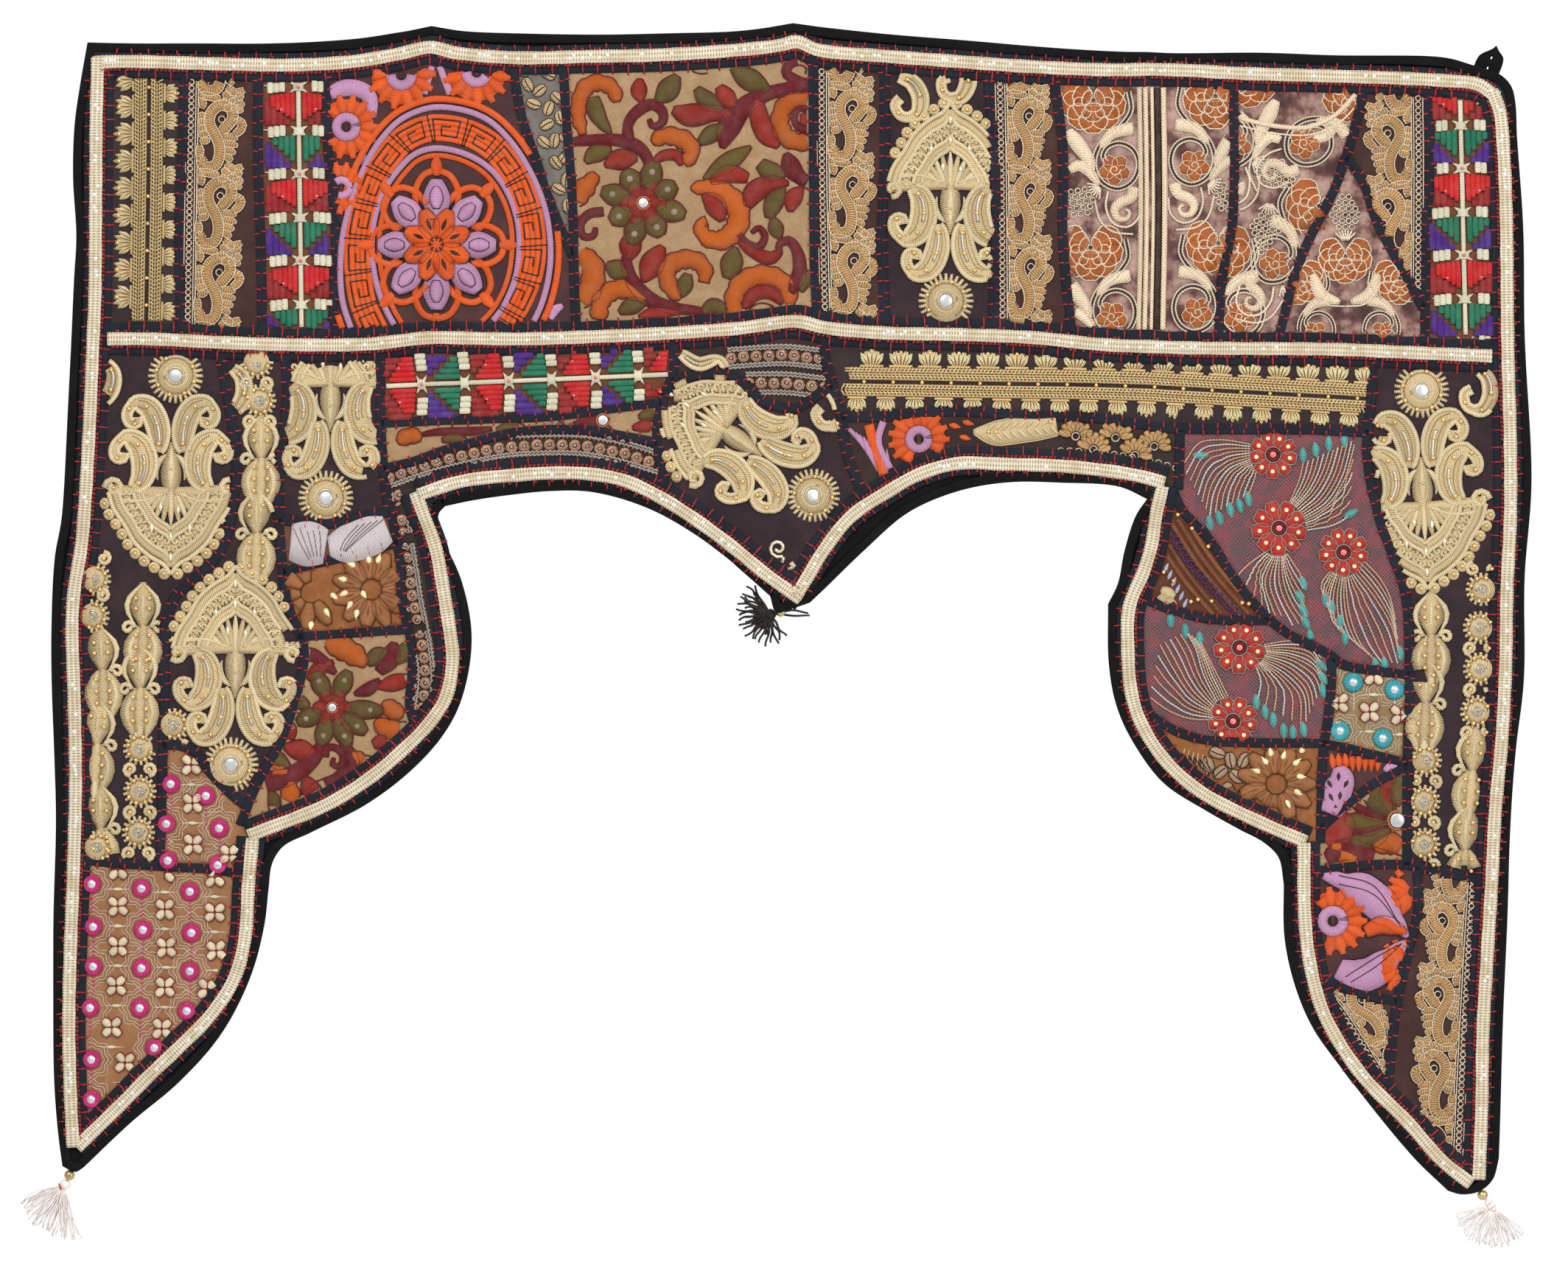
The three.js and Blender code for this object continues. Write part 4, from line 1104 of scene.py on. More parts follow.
# Crewel patches. Vines, leaves and scalloped petals in twisted wool chain stitch on pale linen,
# each outlined in a darker red, with a mirror in the heart of the largest flower.
maroon = colour("#700b1f")
rust = colour("#9c2416")
orange = colour("#cc6008")
olive = colour("#66541f")
outline_red = colour("#74161a")
dusty = colour("#a39384")
salmon = colour("#d98a5a")
linen = plain_weave("linen", colour("#ab8963"), colour("#c19f78"), 0.9, depth=0.2, cloud=12.0)
crewel_upper = [
    # dye, spine, widths
    (orange, [(98, 98), (90, 70), (62, 54), (30, 60), (12, 90), (8, 130), (18, 175)],
     [14, 24, 27, 27, 24, 20, 8]),
    (olive, [(84, 172), (64, 148), (48, 118), (42, 88)], [4, 24, 34, 24]),
    (maroon, [(-5, 192), (50, 188), (110, 190), (150, 206), (172, 238), (172, 262)],
     [16, 20, 22, 24, 22, 16]),
    (maroon, [(125, 190), (125, 150), (145, 122), (180, 105), (205, 122), (204, 148),
              (182, 156), (174, 140)], [22, 18, 20, 22, 20, 17, 13, 8]),
    (rust, [(155, 98), (150, 75), (152, 45)], [8, 32, 10]),
    (olive, [(190, 98), (215, 75), (240, 38)], [8, 44, 14]),
    (olive, [(25, 240), (45, 222), (85, 208)], [10, 36, 6]),
    (rust, [(70, 248), (100, 235), (145, 230)], [8, 42, 12]),
    (orange, [(182, 195), (205, 180), (240, 182), (268, 200), (272, 225), (255, 242)],
     [12, 26, 30, 32, 26, 14]),
    (rust, [(185, 238), (210, 224), (240, 226), (248, 248)], [8, 20, 22, 6]),
    (maroon, [(128, 405), (130, 430), (120, 470), (135, 520), (172, 560), (220, 580),
              (300, 590)], [10, 16, 24, 30, 26, 20, 12]),
    (rust, [(128, 402), (130, 432), (125, 468)], [10, 44, 14]),
    (rust, [(160, 520), (180, 480), (205, 438)], [8, 48, 14]),
    (olive, [(74, 480), (95, 490), (124, 506)], [12, 40, 8]),
    (maroon, [(66, 356), (32, 362), (12, 388), (20, 414), (44, 412), (48, 394)],
     [18, 17, 15, 14, 12, 8]),
    (orange, [(2, 340), (20, 305), (50, 268)], [16, 34, 10]),
    (orange, [(5, 578), (36, 535), (42, 490), (14, 448)], [12, 42, 42, 20]),
    (orange, [(55, 608), (62, 565), (90, 540), (130, 540), (165, 562)], [26, 30, 32, 30, 12]),
    (olive, [(104, 592), (130, 578), (168, 568)], [10, 34, 6]),
    (rust, [(150, 602), (190, 592), (245, 592)], [6, 24, 6]),
    (orange, [(245, 562), (219, 525), (216, 490), (245, 470), (285, 472), (305, 495),
              (302, 522)], [10, 26, 30, 32, 30, 26, 14]),
    (olive, [(250, 556), (257, 530), (265, 503)], [6, 32, 16]),
    (olive, [(298, 592), (325, 578), (356, 592)], [10, 32, 10]),
    (orange, [(272, 302), (318, 300), (358, 318), (384, 358), (375, 400), (340, 424),
              (304, 414), (294, 386), (308, 378)], [6, 26, 34, 38, 38, 36, 30, 22, 12]),
    (rust, [(300, 316), (326, 338), (345, 378)], [8, 42, 12]),
    (rust, [(318, 288), (360, 268), (405, 278)], [10, 36, 20]),
    (olive, [(302, 280), (352, 246), (412, 205)], [6, 38, 6]),
    (maroon, [(345, 207), (360, 160), (395, 112), (450, 82), (500, 70), (552, 62)],
     [10, 46, 36, 26, 24, 28]),
    (rust, [(230, 118), (265, 130), (320, 126), (370, 130)], [16, 46, 32, 10]),
    (olive, [(285, 68), (305, 92), (345, 120)], [14, 36, 8]),
    (rust, [(338, 64), (352, 85), (375, 110)], [16, 36, 10]),
    (olive, [(292, 195), (318, 176), (350, 155)], [14, 34, 8]),
    (olive, [(366, 20), (405, 45), (456, 72)], [8, 44, 8]),
    (maroon, [(268, 8), (290, 15), (314, 22)], [20, 30, 18]),
    (maroon, [(545, 62), (518, 50), (495, 34), (502, 14), (530, 5), (550, 20), (544, 38)],
     [22, 18, 18, 18, 18, 15, 8]),
    (orange, [(558, 102), (525, 95), (492, 110), (480, 145), (492, 180), (525, 196),
              (558, 188)], [22, 28, 30, 30, 30, 28, 20]),
    (maroon, [(558, 120), (522, 118), (514, 142), (526, 164), (558, 166)],
     [10, 12, 12, 12, 10]),
    (rust, [(528, 142), (558, 142)], [20, 30]),
    (rust, [(424, 84), (430, 130), (446, 172), (476, 206)], [10, 36, 40, 10]),
    (maroon, [(494, 222), (510, 260), (535, 284), (558, 296)], [10, 38, 26, 20]),
    (olive, [(434, 244), (456, 262), (492, 274)], [24, 38, 8]),
    (rust, [(404, 346), (420, 312), (455, 292), (500, 292)], [16, 42, 30, 8]),
    (olive, [(454, 372), (466, 336), (490, 302)], [16, 38, 8]),
    (rust, [(504, 358), (510, 330), (532, 302)], [10, 34, 8]),
    (maroon, [(385, 410), (400, 430), (430, 440), (445, 415), (430, 395), (414, 406)],
     [12, 15, 15, 13, 11, 7]),
    (rust, [(385, 426), (415, 450), (458, 466), (482, 450)], [10, 20, 26, 12]),
    (olive, [(376, 440), (368, 475), (354, 512)], [8, 44, 14]),
    (maroon, [(506, 548), (526, 500), (520, 450), (500, 426), (478, 436), (481, 456)],
     [14, 28, 25, 19, 15, 8]),
    (olive, [(480, 420), (472, 400), (464, 374)], [8, 30, 12]),
    (orange, [(375, 602), (372, 560), (390, 525), (430, 506), (475, 515), (500, 545),
              (496, 588)], [20, 30, 34, 34, 32, 28, 16]),
    (rust, [(396, 582), (420, 550), (460, 546), (486, 572)], [10, 28, 28, 10]),
    (olive, [(400, 602), (435, 586), (472, 588)], [8, 26, 8]),
    (olive, [(530, 545), (540, 516), (560, 498)], [8, 26, 12]),
]
crewel_left = [
    (orange, [(148, 48), (188, 58), (226, 78), (264, 106)], [14, 50, 46, 12]),
    (maroon, [(70, 118), (104, 78), (140, 100), (176, 132)], [14, 30, 30, 10]),
    (rust, [(100, 150), (130, 120), (170, 100)], [10, 34, 10]),
    (olive, [(268, 108), (290, 85), (322, 68)], [12, 40, 10]),
    (maroon, [(298, 128), (330, 88), (342, 46)], [22, 48, 16]),
    (olive, [(350, 104), (368, 76), (380, 42)], [8, 38, 8]),
    (rust, [(296, 172), (345, 158), (390, 148)], [8, 40, 22]),
    (maroon, [(230, 190), (270, 176), (300, 150)], [8, 30, 10]),
    (orange, [(310, 212), (342, 238), (368, 244)], [8, 38, 18]),
    (orange, [(288, 266), (325, 288), (376, 290)], [12, 42, 26]),
    (rust, [(34, 338), (70, 346), (122, 352)], [14, 50, 8]),
    (maroon, [(-20, 440), (58, 416), (110, 376), (142, 322)], [50, 42, 36, 18]),
    (maroon, [(120, 466), (190, 424), (224, 384), (194, 322)], [44, 32, 36, 14]),
    (maroon, [(148, 366), (152, 342), (178, 342), (198, 364), (190, 392), (168, 388),
              (172, 370)], [16, 15, 15, 16, 14, 12, 7]),
    (orange, [(28, 514), (48, 480), (54, 436)], [12, 40, 14]),
    (rust, [(92, 424), (108, 460), (138, 494)], [14, 48, 16]),
    (orange, [(222, 356), (250, 378), (288, 390)], [10, 30, 8]),
    (rust, [(283, 332), (300, 325), (320, 316)], [20, 32, 18]),
    (olive, [(-4, 342), (12, 374), (48, 394)], [20, 42, 10]),
    (orange, [(-14, 402), (14, 404), (44, 410)], [14, 26, 8]),
    (olive, [(-6, 462), (6, 494), (0, 530)], [10, 32, 10]),
    (olive, [(50, 206), (78, 214), (104, 222)], [12, 34, 8]),
    (rust, [(40, 262), (50, 290), (56, 318)], [10, 30, 8]),
]
crewel_wedge = [
    (maroon, [(-70, 10), (-30, 4), (10, 12)], [6, 24, 16]),
    (orange, [(-60, 22), (-24, 20), (20, 28)], [8, 22, 8]),
    (olive, [(84, -8), (112, -14), (150, -22)], [8, 30, 8]),
    (rust, [(70, 18), (104, 12), (142, 2)], [8, 26, 6]),
    (rust, [(-150, 18), (-118, 12), (-84, 20)], [8, 22, 8]),
    (olive, [(-250, 24), (-214, 16), (-176, 22)], [8, 22, 8]),
    (maroon, [(-420, 34), (-380, 28), (-300, 26), (-260, 20)], [8, 14, 16, 8]),
    (orange, [(-480, 52), (-452, 36), (-424, 44)], [10, 28, 10]),
    (olive, [(-376, 48), (-350, 42), (-320, 48)], [8, 20, 8]),
]
crewel_right = [
    (olive, [(340, 156), (370, 164), (408, 164)], [10, 34, 10]),
    (olive, [(372, 112), (398, 128), (418, 150)], [16, 38, 10]),
    (olive, [(348, 192), (380, 188), (412, 172)], [10, 30, 8]),
    (olive, [(432, 88), (426, 110), (424, 136)], [14, 32, 8]),
    (rust, [(302, 204), (334, 176), (346, 148)], [14, 40, 10]),
    (maroon, [(304, 222), (344, 206), (386, 222), (436, 230)], [14, 30, 34, 18]),
    (orange, [(318, 196), (346, 218), (378, 238)], [8, 26, 8]),
    (orange, [(386, 204), (412, 196), (440, 206)], [8, 26, 12]),
    (maroon, [(352, 132), (372, 146), (404, 158)], [6, 14, 6]),
    (maroon, [(352, 178), (380, 176), (410, 166)], [6, 12, 6]),
    (rust, [(416, 96), (404, 112), (414, 146)], [6, 16, 6]),
]
mirror_flower = [(16, 102), (61, 88), (106, 102), (151, 88), (196, 102), (241, 88), (286, 102),
                 (331, 88)]
flowers = {
    # patch: where the drawing starts, its size, the shapes, mirrors and petals round each
    "crewel_upper": ((390, 40), 0.29, crewel_upper, [((160, 336), mirror_flower)]),
    "crewel_left": ((185, 425), 0.2418, crewel_left, [((168, 228), [
        (-117, 112), (-66, 112), (4, 144), (37, 118), (67, 118), (108, 112), (157, 108)])]),
    "crewel_wedge": ((409, 285), 0.29, crewel_wedge, [((0, 0), [])]),
    "crewel_right": ((770, 490), 0.4195, crewel_right, [((424, 159), [])]),
}
for name, (start, size, shapes, hearts) in flowers.items():
    patch(name, linen)
    work = Stitching(name).at(start, 0, size)
    shine = Stitching(name).at(start, 0, size)
    for dye, spine, widths in shapes:
        work.shape(spine, np.array(widths) * 1.15, dye, outline_red, rim_width=1.4,
                   scallop=1.6 / size if dye is orange else 0.0)
    for centre, reach in hearts:
        centre = np.array(centre, float)
        for lean, far in reach:
            way = toward(lean)
            work.oval(centre + way * 34, centre + way * far, 52, olive, outline_red, rim_width=1.4)
            work.pad(centre + way * 0.74 * far, 9, dusty, 1.6, sides=8)
        for k in range(6 if reach else 0):
            way = toward(k * 60)
            work.oval(centre + way * 8, centre + way * 54, 40, rust, outline_red)
        work.ring(centre, 15, 6, salmon, 1.9, sides=14)
        shine.pad(centre, 12, mirror_grey, 0.6, 3.9, 14, **mirror_form)
    work.sew("crewel_" + name, chain_stitch, "silk_floss")
    shine.sew("mirrors_" + name, bright_silver, "mirror_glass")


# Medallion patch. Floss in orange and pink on brown cloth: a many-petalled flower inside an egg
# of rings, with a fret band between them and parts of other flowers at the corners.
suzani_orange = colour("#ea5a12")
suzani_pink = colour("#c793bb")
brown_thread = colour("#3c2220")
medallion_ground = plain_weave("medallion_ground", colour("#46292a"), colour("#5a3a38"), 0.9)
drawn = 0.3066


def wheel_flower(work, centre, reach, eye, first=0.0, petals=14):
    """Wedge petals in orange round a pink ring with a dark eye."""
    work.ring(centre, reach * 0.62, reach * 0.5, suzani_orange, 0.9, sides=20,
              outline=soft_section)
    work.ring(centre, reach * 0.3, reach * 0.3, suzani_pink, 1.5, sides=16, outline=soft_section)
    work.bloom(centre, reach * 0.45, reach, reach * 0.36, suzani_orange, petals, first,
               height=1.6, tip=0.5, outline=soft_section)
    work.shape([(centre[0], centre[1] - eye), (centre[0], centre[1] + eye)], [eye, eye],
               brown_thread, height=1.6)


patch("medallion", medallion_ground)
work = Stitching("medallion").at((170, 45), 0, drawn)
outer_egg = smooth([(225, 590), (203, 520), (198, 450), (204, 370), (222, 300), (250, 225),
                    (285, 165), (335, 115), (400, 92), (465, 95), (525, 118), (575, 165),
                    (620, 235), (650, 310), (663, 390), (660, 460), (642, 530), (612, 590)], 6)
inner_egg = smooth([(330, 592), (300, 540), (278, 480), (268, 410), (273, 340), (292, 280),
                    (325, 230), (362, 195), (408, 182), (465, 190), (525, 222), (565, 272),
                    (590, 340), (594, 410), (582, 480), (550, 545), (505, 592)], 6)
fret_points = [(278, 592), (250, 530), (238, 465), (236, 390), (248, 320), (271, 252), (305, 197),
               (348, 155), (404, 137), (465, 142), (525, 170), (570, 218), (605, 287),
               (622, 360), (622, 435), (600, 505), (560, 575)]
work.lay(outer_egg, 14, 1.4, thread_lift, suzani_pink, soft_section)
work.lay(offset(outer_egg, -18), 15, 1.4, thread_lift, suzani_orange, soft_section)
work.lay(offset(outer_egg, -9), 3, 1.2, thread_lift, brown_thread, fine_section)
work.lay(inner_egg, 14, 1.4, thread_lift, suzani_pink, soft_section)
work.lay(offset(inner_egg, 16), 12, 1.4, thread_lift, suzani_orange, soft_section)
work.lay(offset(inner_egg, 8), 3, 1.2, thread_lift, brown_thread, fine_section)
fret = track(fret_points)
for side in (-24, -12, 0, 12, 24):
    work.lay(fret.row(side, 7), 12.5, 1.3, thread_lift, suzani_orange, soft_section)
for k in np.arange(20, fret.length, 78):
    for stroke in ([(-37, -30), (-33, 30)],
                   [(-27, 30), (-27, -20), (27, -20), (27, 17), (-10, 17), (-10, -3), (10, -3)]):
        corners = [fret([(k + along, out)])[0] for along, out in stroke]
        for start, end in zip(corners, corners[1:]):
            work.line([start, end], 5.5, brown_thread, 0.7, lift=3.35, outline=fine_section)
heart = np.array([412.0, 395.0])
taller = (1, 1.1)
for k in range(8):
    way = toward(k * 45) * taller
    turn = np.array([-way[1], way[0]])
    for side in (-1, 1):
        work.line([heart + way * 76 + turn * 42 * side, heart + way * 112 + turn * 42 * side,
                   heart + way * 140 + turn * 26 * side, heart + way * 150], 15, suzani_orange, 1.5,
                  outline=soft_section)
    work.oval(heart + way * 138, heart + way * 176, 26, suzani_orange, None, 1.7)
for k in range(8):
    way = toward(k * 45) * taller
    work.oval(heart + way * 50, heart + way * 132, 64, suzani_pink, brown_thread, 1.5,
              thread_lift + 0.2, rim_width=0.8)
    work.oval(heart + way * 72, heart + way * 116, 30, suzani_pink, brown_thread, 1.3,
              thread_lift + 0.9, rim_width=0.8)
for k in range(8):
    way = toward(k * 45 + 22.5) * taller
    work.oval(heart + way * 14, heart + way * 76, 46, suzani_orange, brown_thread, 1.5,
              thread_lift + 0.5, rim_width=0.8)
    work.leaf(heart + way * 30, heart + way * 58, 9, brown_thread, height=1.0, lift=4.0)
work.pad(heart, 21, suzani_orange, 1.9, sides=14)
work.bloom(heart, 7, 17, 4, brown_thread, 8, height=1.0, lift=3.9, steps=4)
wheel_flower(work, (211, 133), 72, 9)
wheel_flower(work, (200, 268), 58, 8)
wheel_flower(work, (333, 18), 78, 8)
wheel_flower(work, (500, 12), 76, 8, 10)
work.shape([(168, 62), (212, 46), (256, 58), (274, 112)], [26, 40, 36, 8], suzani_pink)
for foot, top in (((384, 62), (404, -6)), ((442, 62), (416, -6))):
    work.shape([foot, top], [17, 14], suzani_pink)
work.shape([(232, 216), (244, 206), (256, 196)], [6, 18, 6], suzani_pink)
work.line([(582, 148), (612, 172), (640, 212)], 12, suzani_orange, 1.4)
work.shape([(664, 560), (672, 540), (690, 528)], [8, 22, 10], suzani_pink)
work.sew("floss_medallion", satin_floss, "silk_floss")


# Counted-thread cross borders. Blocks of glossy floss stand on each side of a cream spine: five
# red bars over a dark red wedge, then green fingers over a purple one, with cream tabs between.
red = colour("#d3181f")
dark_red = colour("#9b1a24")
green = colour("#0f7a5a")
purple = colour("#4a1f86")
cream = colour("#e6e0c4")
cross_ground = plain_weave("cross_ground", colour("#6d4028"), colour("#7d4d31"), 0.9)
cross_step = 192.4
cross_runs = {
    # patch: start, turn, how many repeats
    "cross_left": ((202.2, 58.8), -0.8, 3), "cross_right": ((991.0, 55.0), -1.3, 3),
    "cross_centre": ((463.0, 253.6), 87.6, 4)}


def bar(work, x, top, bottom, width, dye, height):
    work.shape([(x, top), (x, bottom)], [width * 0.85, width, width, width * 0.85], dye, None,
               height, step=3.0)


def cross_repeat(work, beads):
    for side in (-1, 1):
        for k in range(4):
            bar(work, side * (27 + 14 * k), 70 - 15 * k, 84, 15.5, dark_red, 1.4)
            bar(work, side * (27 + 14 * k), 166 - 15 * k, 180, 15.5, purple, 1.5)
            bar(work, side * (15 + 12.5 * k), 106 + k * 2, 164 - 12 * k, 13, green, 1.9)
        for k in range(5):
            bar(work, side * (13 + 11 * k), 12 + k * 1.5, 72 - 7 * k, 12, red, 2.2)
        for base, far in ((0, 76), (98, 78)):
            for k, x in enumerate((36, 49, 62)):
                lean = (k - 1) * 1.5
                bar(work, side * x, base - 12 + lean, base + 12 + lean, 14, cream, 2.3)
            work.line([(side * 30, base), (side * far, base - 4)], 3, cream, 2.0)
        for base, wide in ((0, 20), (98, 19)):
            work.leaf((side * 2, base - 2), (side * wide, base - 12), 7, cream, height=2.0)
            work.leaf((side * 2, base + 2), (side * wide, base + 12), 7, cream, height=2.0)
        beads.pad((side * 38, 50), 3.6, red, 2.2, 3.6, 8)
    bar(work, 0, -6, 98, 11, cream, 2.0)
    bar(work, 0, 98, 196, 10, cream, 2.0)
    for base in (0, 98):
        bar(work, 0, base - 9, base + 9, 24, cream, 2.3)
    beads.pad((0, 0), 4.6, red, 2.4, 4.4, 8)


for name, (start, turn, repeats) in cross_runs.items():
    patch(name, cross_ground)
    work, beads = Stitching(name), Stitching(name)
    way = np.array([-math.sin(math.radians(turn)), math.cos(math.radians(turn))])
    for k in range(-1, repeats + 1):
        for worker in (work, beads):
            worker.at(np.array(start) + way * k * cross_step * drawn, turn, drawn)
        cross_repeat(work, beads)
    work.sew("floss_" + name, satin_floss, "silk_floss")
    beads.sew("beads_" + name, bead_gloss, "gilt_bead")


# Cutwork border. Cream cloth cut into half-leaves and scrolls and edged with cord lies on tie-dyed
# mauve cloth: double coils, bunches of little rings and layered copper-brown flowers.
applique = colour("#efd8b8")
cord_cream = colour("#f2e1c6")
copper_dye = colour("#ad5a1e")
plum = colour("#35201f")
petal_rows = ((7, 1.0), (5, 0.64), (3, 0.34))


def tie_dye():
    """Cloth dyed in cloudy patches from dark plum to pale mauve, with a few slubs."""
    material, shade, surface = finish("tie_dye", 0.9)
    cloud = speckle(shade, 17.0, 3.0)
    tone = shade.node("ShaderNodeValToRGB", {"stops": [
        (0.34, colour("#3b2320")), (0.44, colour("#603e39")), (0.54, colour("#96766b")),
        (0.66, colour("#b8978a"))]}, {"Fac": cloud})
    grain = speckle(shade, 1.2, 1.0)
    shade.feed(surface.inputs["Base Color"], (grain * 0.35).mix(tone, colour("#4a3233")))
    raise_surface(shade, surface, grain, 0.15)
    return material


def copper_flower(work, centre, reach):
    """Rows of round petals of brown cloth fan out over one another, each edged in cord."""
    centre = np.array(centre, float)
    for row, (count, share) in enumerate(petal_rows):
        far = reach * share
        for k in range(count):
            way = toward(k * 230 / (count - 1) - 25)
            wide = 2.9 * far / count ** 0.6
            work.oval(centre + way * (far * 0.25), centre + way * far, wide, copper_dye,
                      cord_cream, 0.7, thread_lift + 0.3 * row, rim_width=1.5)
    work.ring(centre, 1.8, 1.1, cord_cream, 2.4, sides=8)


def round_flower(work, centre, reach):
    """Five round petals of brown cloth round a little swirl of cord."""
    centre = np.array(centre, float)
    for k in range(5):
        way = toward(72 * k + 20)
        work.oval(centre, centre + way * reach, reach * 0.95, copper_dye, cord_cream, 0.8,
                  thread_lift + 0.2, rim_width=1.0)
    work.pad(centre, reach * 0.5, copper_dye, 1.5, sides=10)
    work.coil(centre, reach * 0.4, 1.0, cord_cream, 1.2, height=1.9)


def grapes(work, foot, turn, rows=6):
    """A bunch of rings of cord that hangs from a fan of straight stitches."""
    foot = np.array(foot, float)
    c, s = toward(turn)

    def there(x, y):
        return foot + (c * x - s * y, s * x + c * y)

    for row in range(rows):
        count = (3, 4, 5, 4, 3, 2, 1)[row]
        for k in range(count):
            work.ring(there((k - (count - 1) / 2) * 4.5, 9 + row * 4.1), 1.8, 1.5, cord_cream, 1.7,
                      sides=8)
    for k in range(-3, 4):
        work.line([there(0.5 * k, 0), there(2.3 * k, 7.5 - 0.25 * k * k)], 1.3, cord_cream, 1.4)


def double_line(work, points):
    """Two cords side by side with the dark cloth showing between them."""
    path = smooth(points, 1.8)
    work.lay(path, 3.2, 0.5, thread_lift - 0.1, plum)
    for side in (-1.3, 1.3):
        work.lay(offset(path, side), 1.75, 1.9, thread_lift, cord_cream, fine_section)


def cut_scroll(work, leaf):
    """One repeat, drawn round the middle of its large coil: flower, coils, leaves and rings."""
    copper_flower(work, (-15, -44), 22)
    double_line(work, [(9, -50), (10.5, -37), (2, -25), (-9, -16), (-14, -5), (-13, 5.5), (-7, 13),
                       (2, 16), (11.5, 11), (15.5, 0), (12, -10.5), (3.5, -15), (-5, -12.5),
                       (-8.5, -6), (-6, -2)])
    round_flower(work, (-0.5, 3), 10.5)
    work.shape([(-10, -12), (-3, -21), (5, -24), (12, -25)], [2, 6.5, 7.5, 8.5], applique,
               cord_cream, 1.0, thread_lift + 0.1, rim_width=0.8)
    if leaf:
        work.shape([(-32, -24), (-25, -14), (-18, -4), (-15, 4)], [5, 10, 8, 2], applique,
                   cord_cream, 1.0, rim_width=0.8)
        work.shape([(-31, 3), (-25, 0), (-18, 4), (-11, 13)], [5, 7, 6, 2], applique, cord_cream,
                   1.0, rim_width=0.8)
        grapes(work, (-11, 14.5), 52)
    work.shape([(13, 15), (10.5, 22), (3.5, 25), (-0.5, 30), (2, 36), (8, 36), (9.5, 31),
                (6.5, 30)], [8, 7, 6.5, 6, 4.5, 3, 2, 1.4], applique, cord_cream, 1.1,
               rim_width=0.8)
    work.line([(-5, 18), (-6.5, 28), (-2, 39), (8, 42), (15.5, 36), (17, 25)], 1.5, cord_cream,
              1.8)
    work.line([(-14, 24), (-10, 38), (-2, 45), (12, 47)], 1.5, cord_cream, 1.8)


cut_runs = {
    # patch: middle of each large coil, turn, flip, with or without the outer leaves
    "cutwork_1": [((757, 112), 0, 1, True), ((755, 212), 0, 1, True),
                  ((810, 109), 0, -1, True), ((812, 209), 0, -1, True)],
    "cutwork_2": [((838, 96), -8, -1, True), ((888, 96), 60, 1, False), ((866, 176), 20, -1, True),
                  ((842, 212), 0, 1, False)],
    "cutwork_3": [((893, 224), 0, 1, False), ((938, 224), 0, -1, False)]}
tie_dyed = tie_dye()
for name, runs in cut_runs.items():
    patch(name, tie_dyed)
    work = Stitching(name)
    for middle, turn, flip, leaf in runs:
        work.at(middle, turn, 1.0 if name != "cutwork_3" else 0.8, flip)
        cut_scroll(work, leaf)
    work.at()
    if name == "cutwork_1":
        work.line([(785.5, 55), (786.5, 140), (785, 226)], 6.0, plum, 0.5)
        for across, wide in ((773, 3.4), (777, 3.2), (781.5, 2.4), (789.5, 4.0)):
            work.line([(across, 55), (across + 1, 140), (across - 0.5, 226)], wide, applique, 2.0)
    if name == "cutwork_2":
        work.line([(838, 79), (864, 85), (888, 86), (906, 78), (920, 64)], 3.4, applique, 2.0)
        work.line([(838, 84), (864, 90), (890, 91), (909, 83), (922, 70)], 1.2, cord_cream, 1.6)
        work.shape([(906, 80), (900, 92), (886, 94)], [9, 6, 1], applique, cord_cream)
        grapes(work, (862, 138), 10, 7)
    if name == "cutwork_3":
        copper_flower(work, (913, 174), 18)
        grapes(work, (913, 163), 180)
        for side in (-1, 1):
            work.shape([(913 + side * 4, 205), (913 + side * 16, 200), (913 + side * 22, 186)],
                       [3, 8, 4], applique, cord_cream, 1.2)
            work.line([(913, 208), (913 + side * 14, 206), (913 + side * 24, 192)], 1.2,
                      cord_cream, 1.5)
    work.sew("cutwork_cords_" + name, cotton_yarn, "silk_floss")


# Lace-like gold borders. Rows of couched gold cord fill scrolls and petals that are outlined in
# pale cord, beside a column of small rings between two straight lines.
lace_gold = colour("#d0a268")
lace_pale = colour("#f5e5ca")
chocolate = plain_weave("chocolate", colour("#3d241f"), colour("#543630"), 1.0)
lace_thread = thread("lace_thread", 1.6, lean=0.12, depth=0.5, roughness=0.5, groove_shade=0.6)
lace_runs = {
    # patch: column of rings, side on which the scrolls lie, length of a repeat, reach
    "lace_1": ([(130, 45), (128.5, 130), (127, 228)], -1, 52, 1.0),
    "lace_2": ([(557.5, 38), (558, 130), (560, 220)], -1, 52, 0.98),
    "lace_3": ([(678.5, 44), (680, 130), (680.5, 226)], -1, 51, 0.92),
    "lace_4": ([(962.5, 56), (963, 110), (962.5, 200)], 1, 50, 1.0),
    "lace_leg": ([(1000, 592), (994, 690), (989, 785)], 1, 50, 0.92),
    "lace_low": ([(892, 664), (915, 695), (945, 745)], -1, 44, 0.8)}
lace_repeat = 62.0
scroll_cords = [
    # width of the cord, and its line as distances along the border and out from the rings
    (7.0, [(45, 10.5), (48, 7.5), (53, 10), (52, 17), (43, 20), (33, 19), (25, 15.5), (17, 12.5),
           (8.5, 14), (3, 20.5), (6, 27), (13, 28.5), (20, 24.5), (25, 20)]),
    (5.4, [(27, 29), (23, 33.5), (18, 35), (15.5, 32), (18, 30)]),
    (5.2, [(35, 6), (41, 6.5), (46, 5.5)]),
    (5.2, [(57, 5), (58, 12), (60, 20)]),
    (5.2, [(50, 24), (55, 30), (52, 36)]),
    (5.0, [(-4, 6), (2, 8), (6, 7)])]
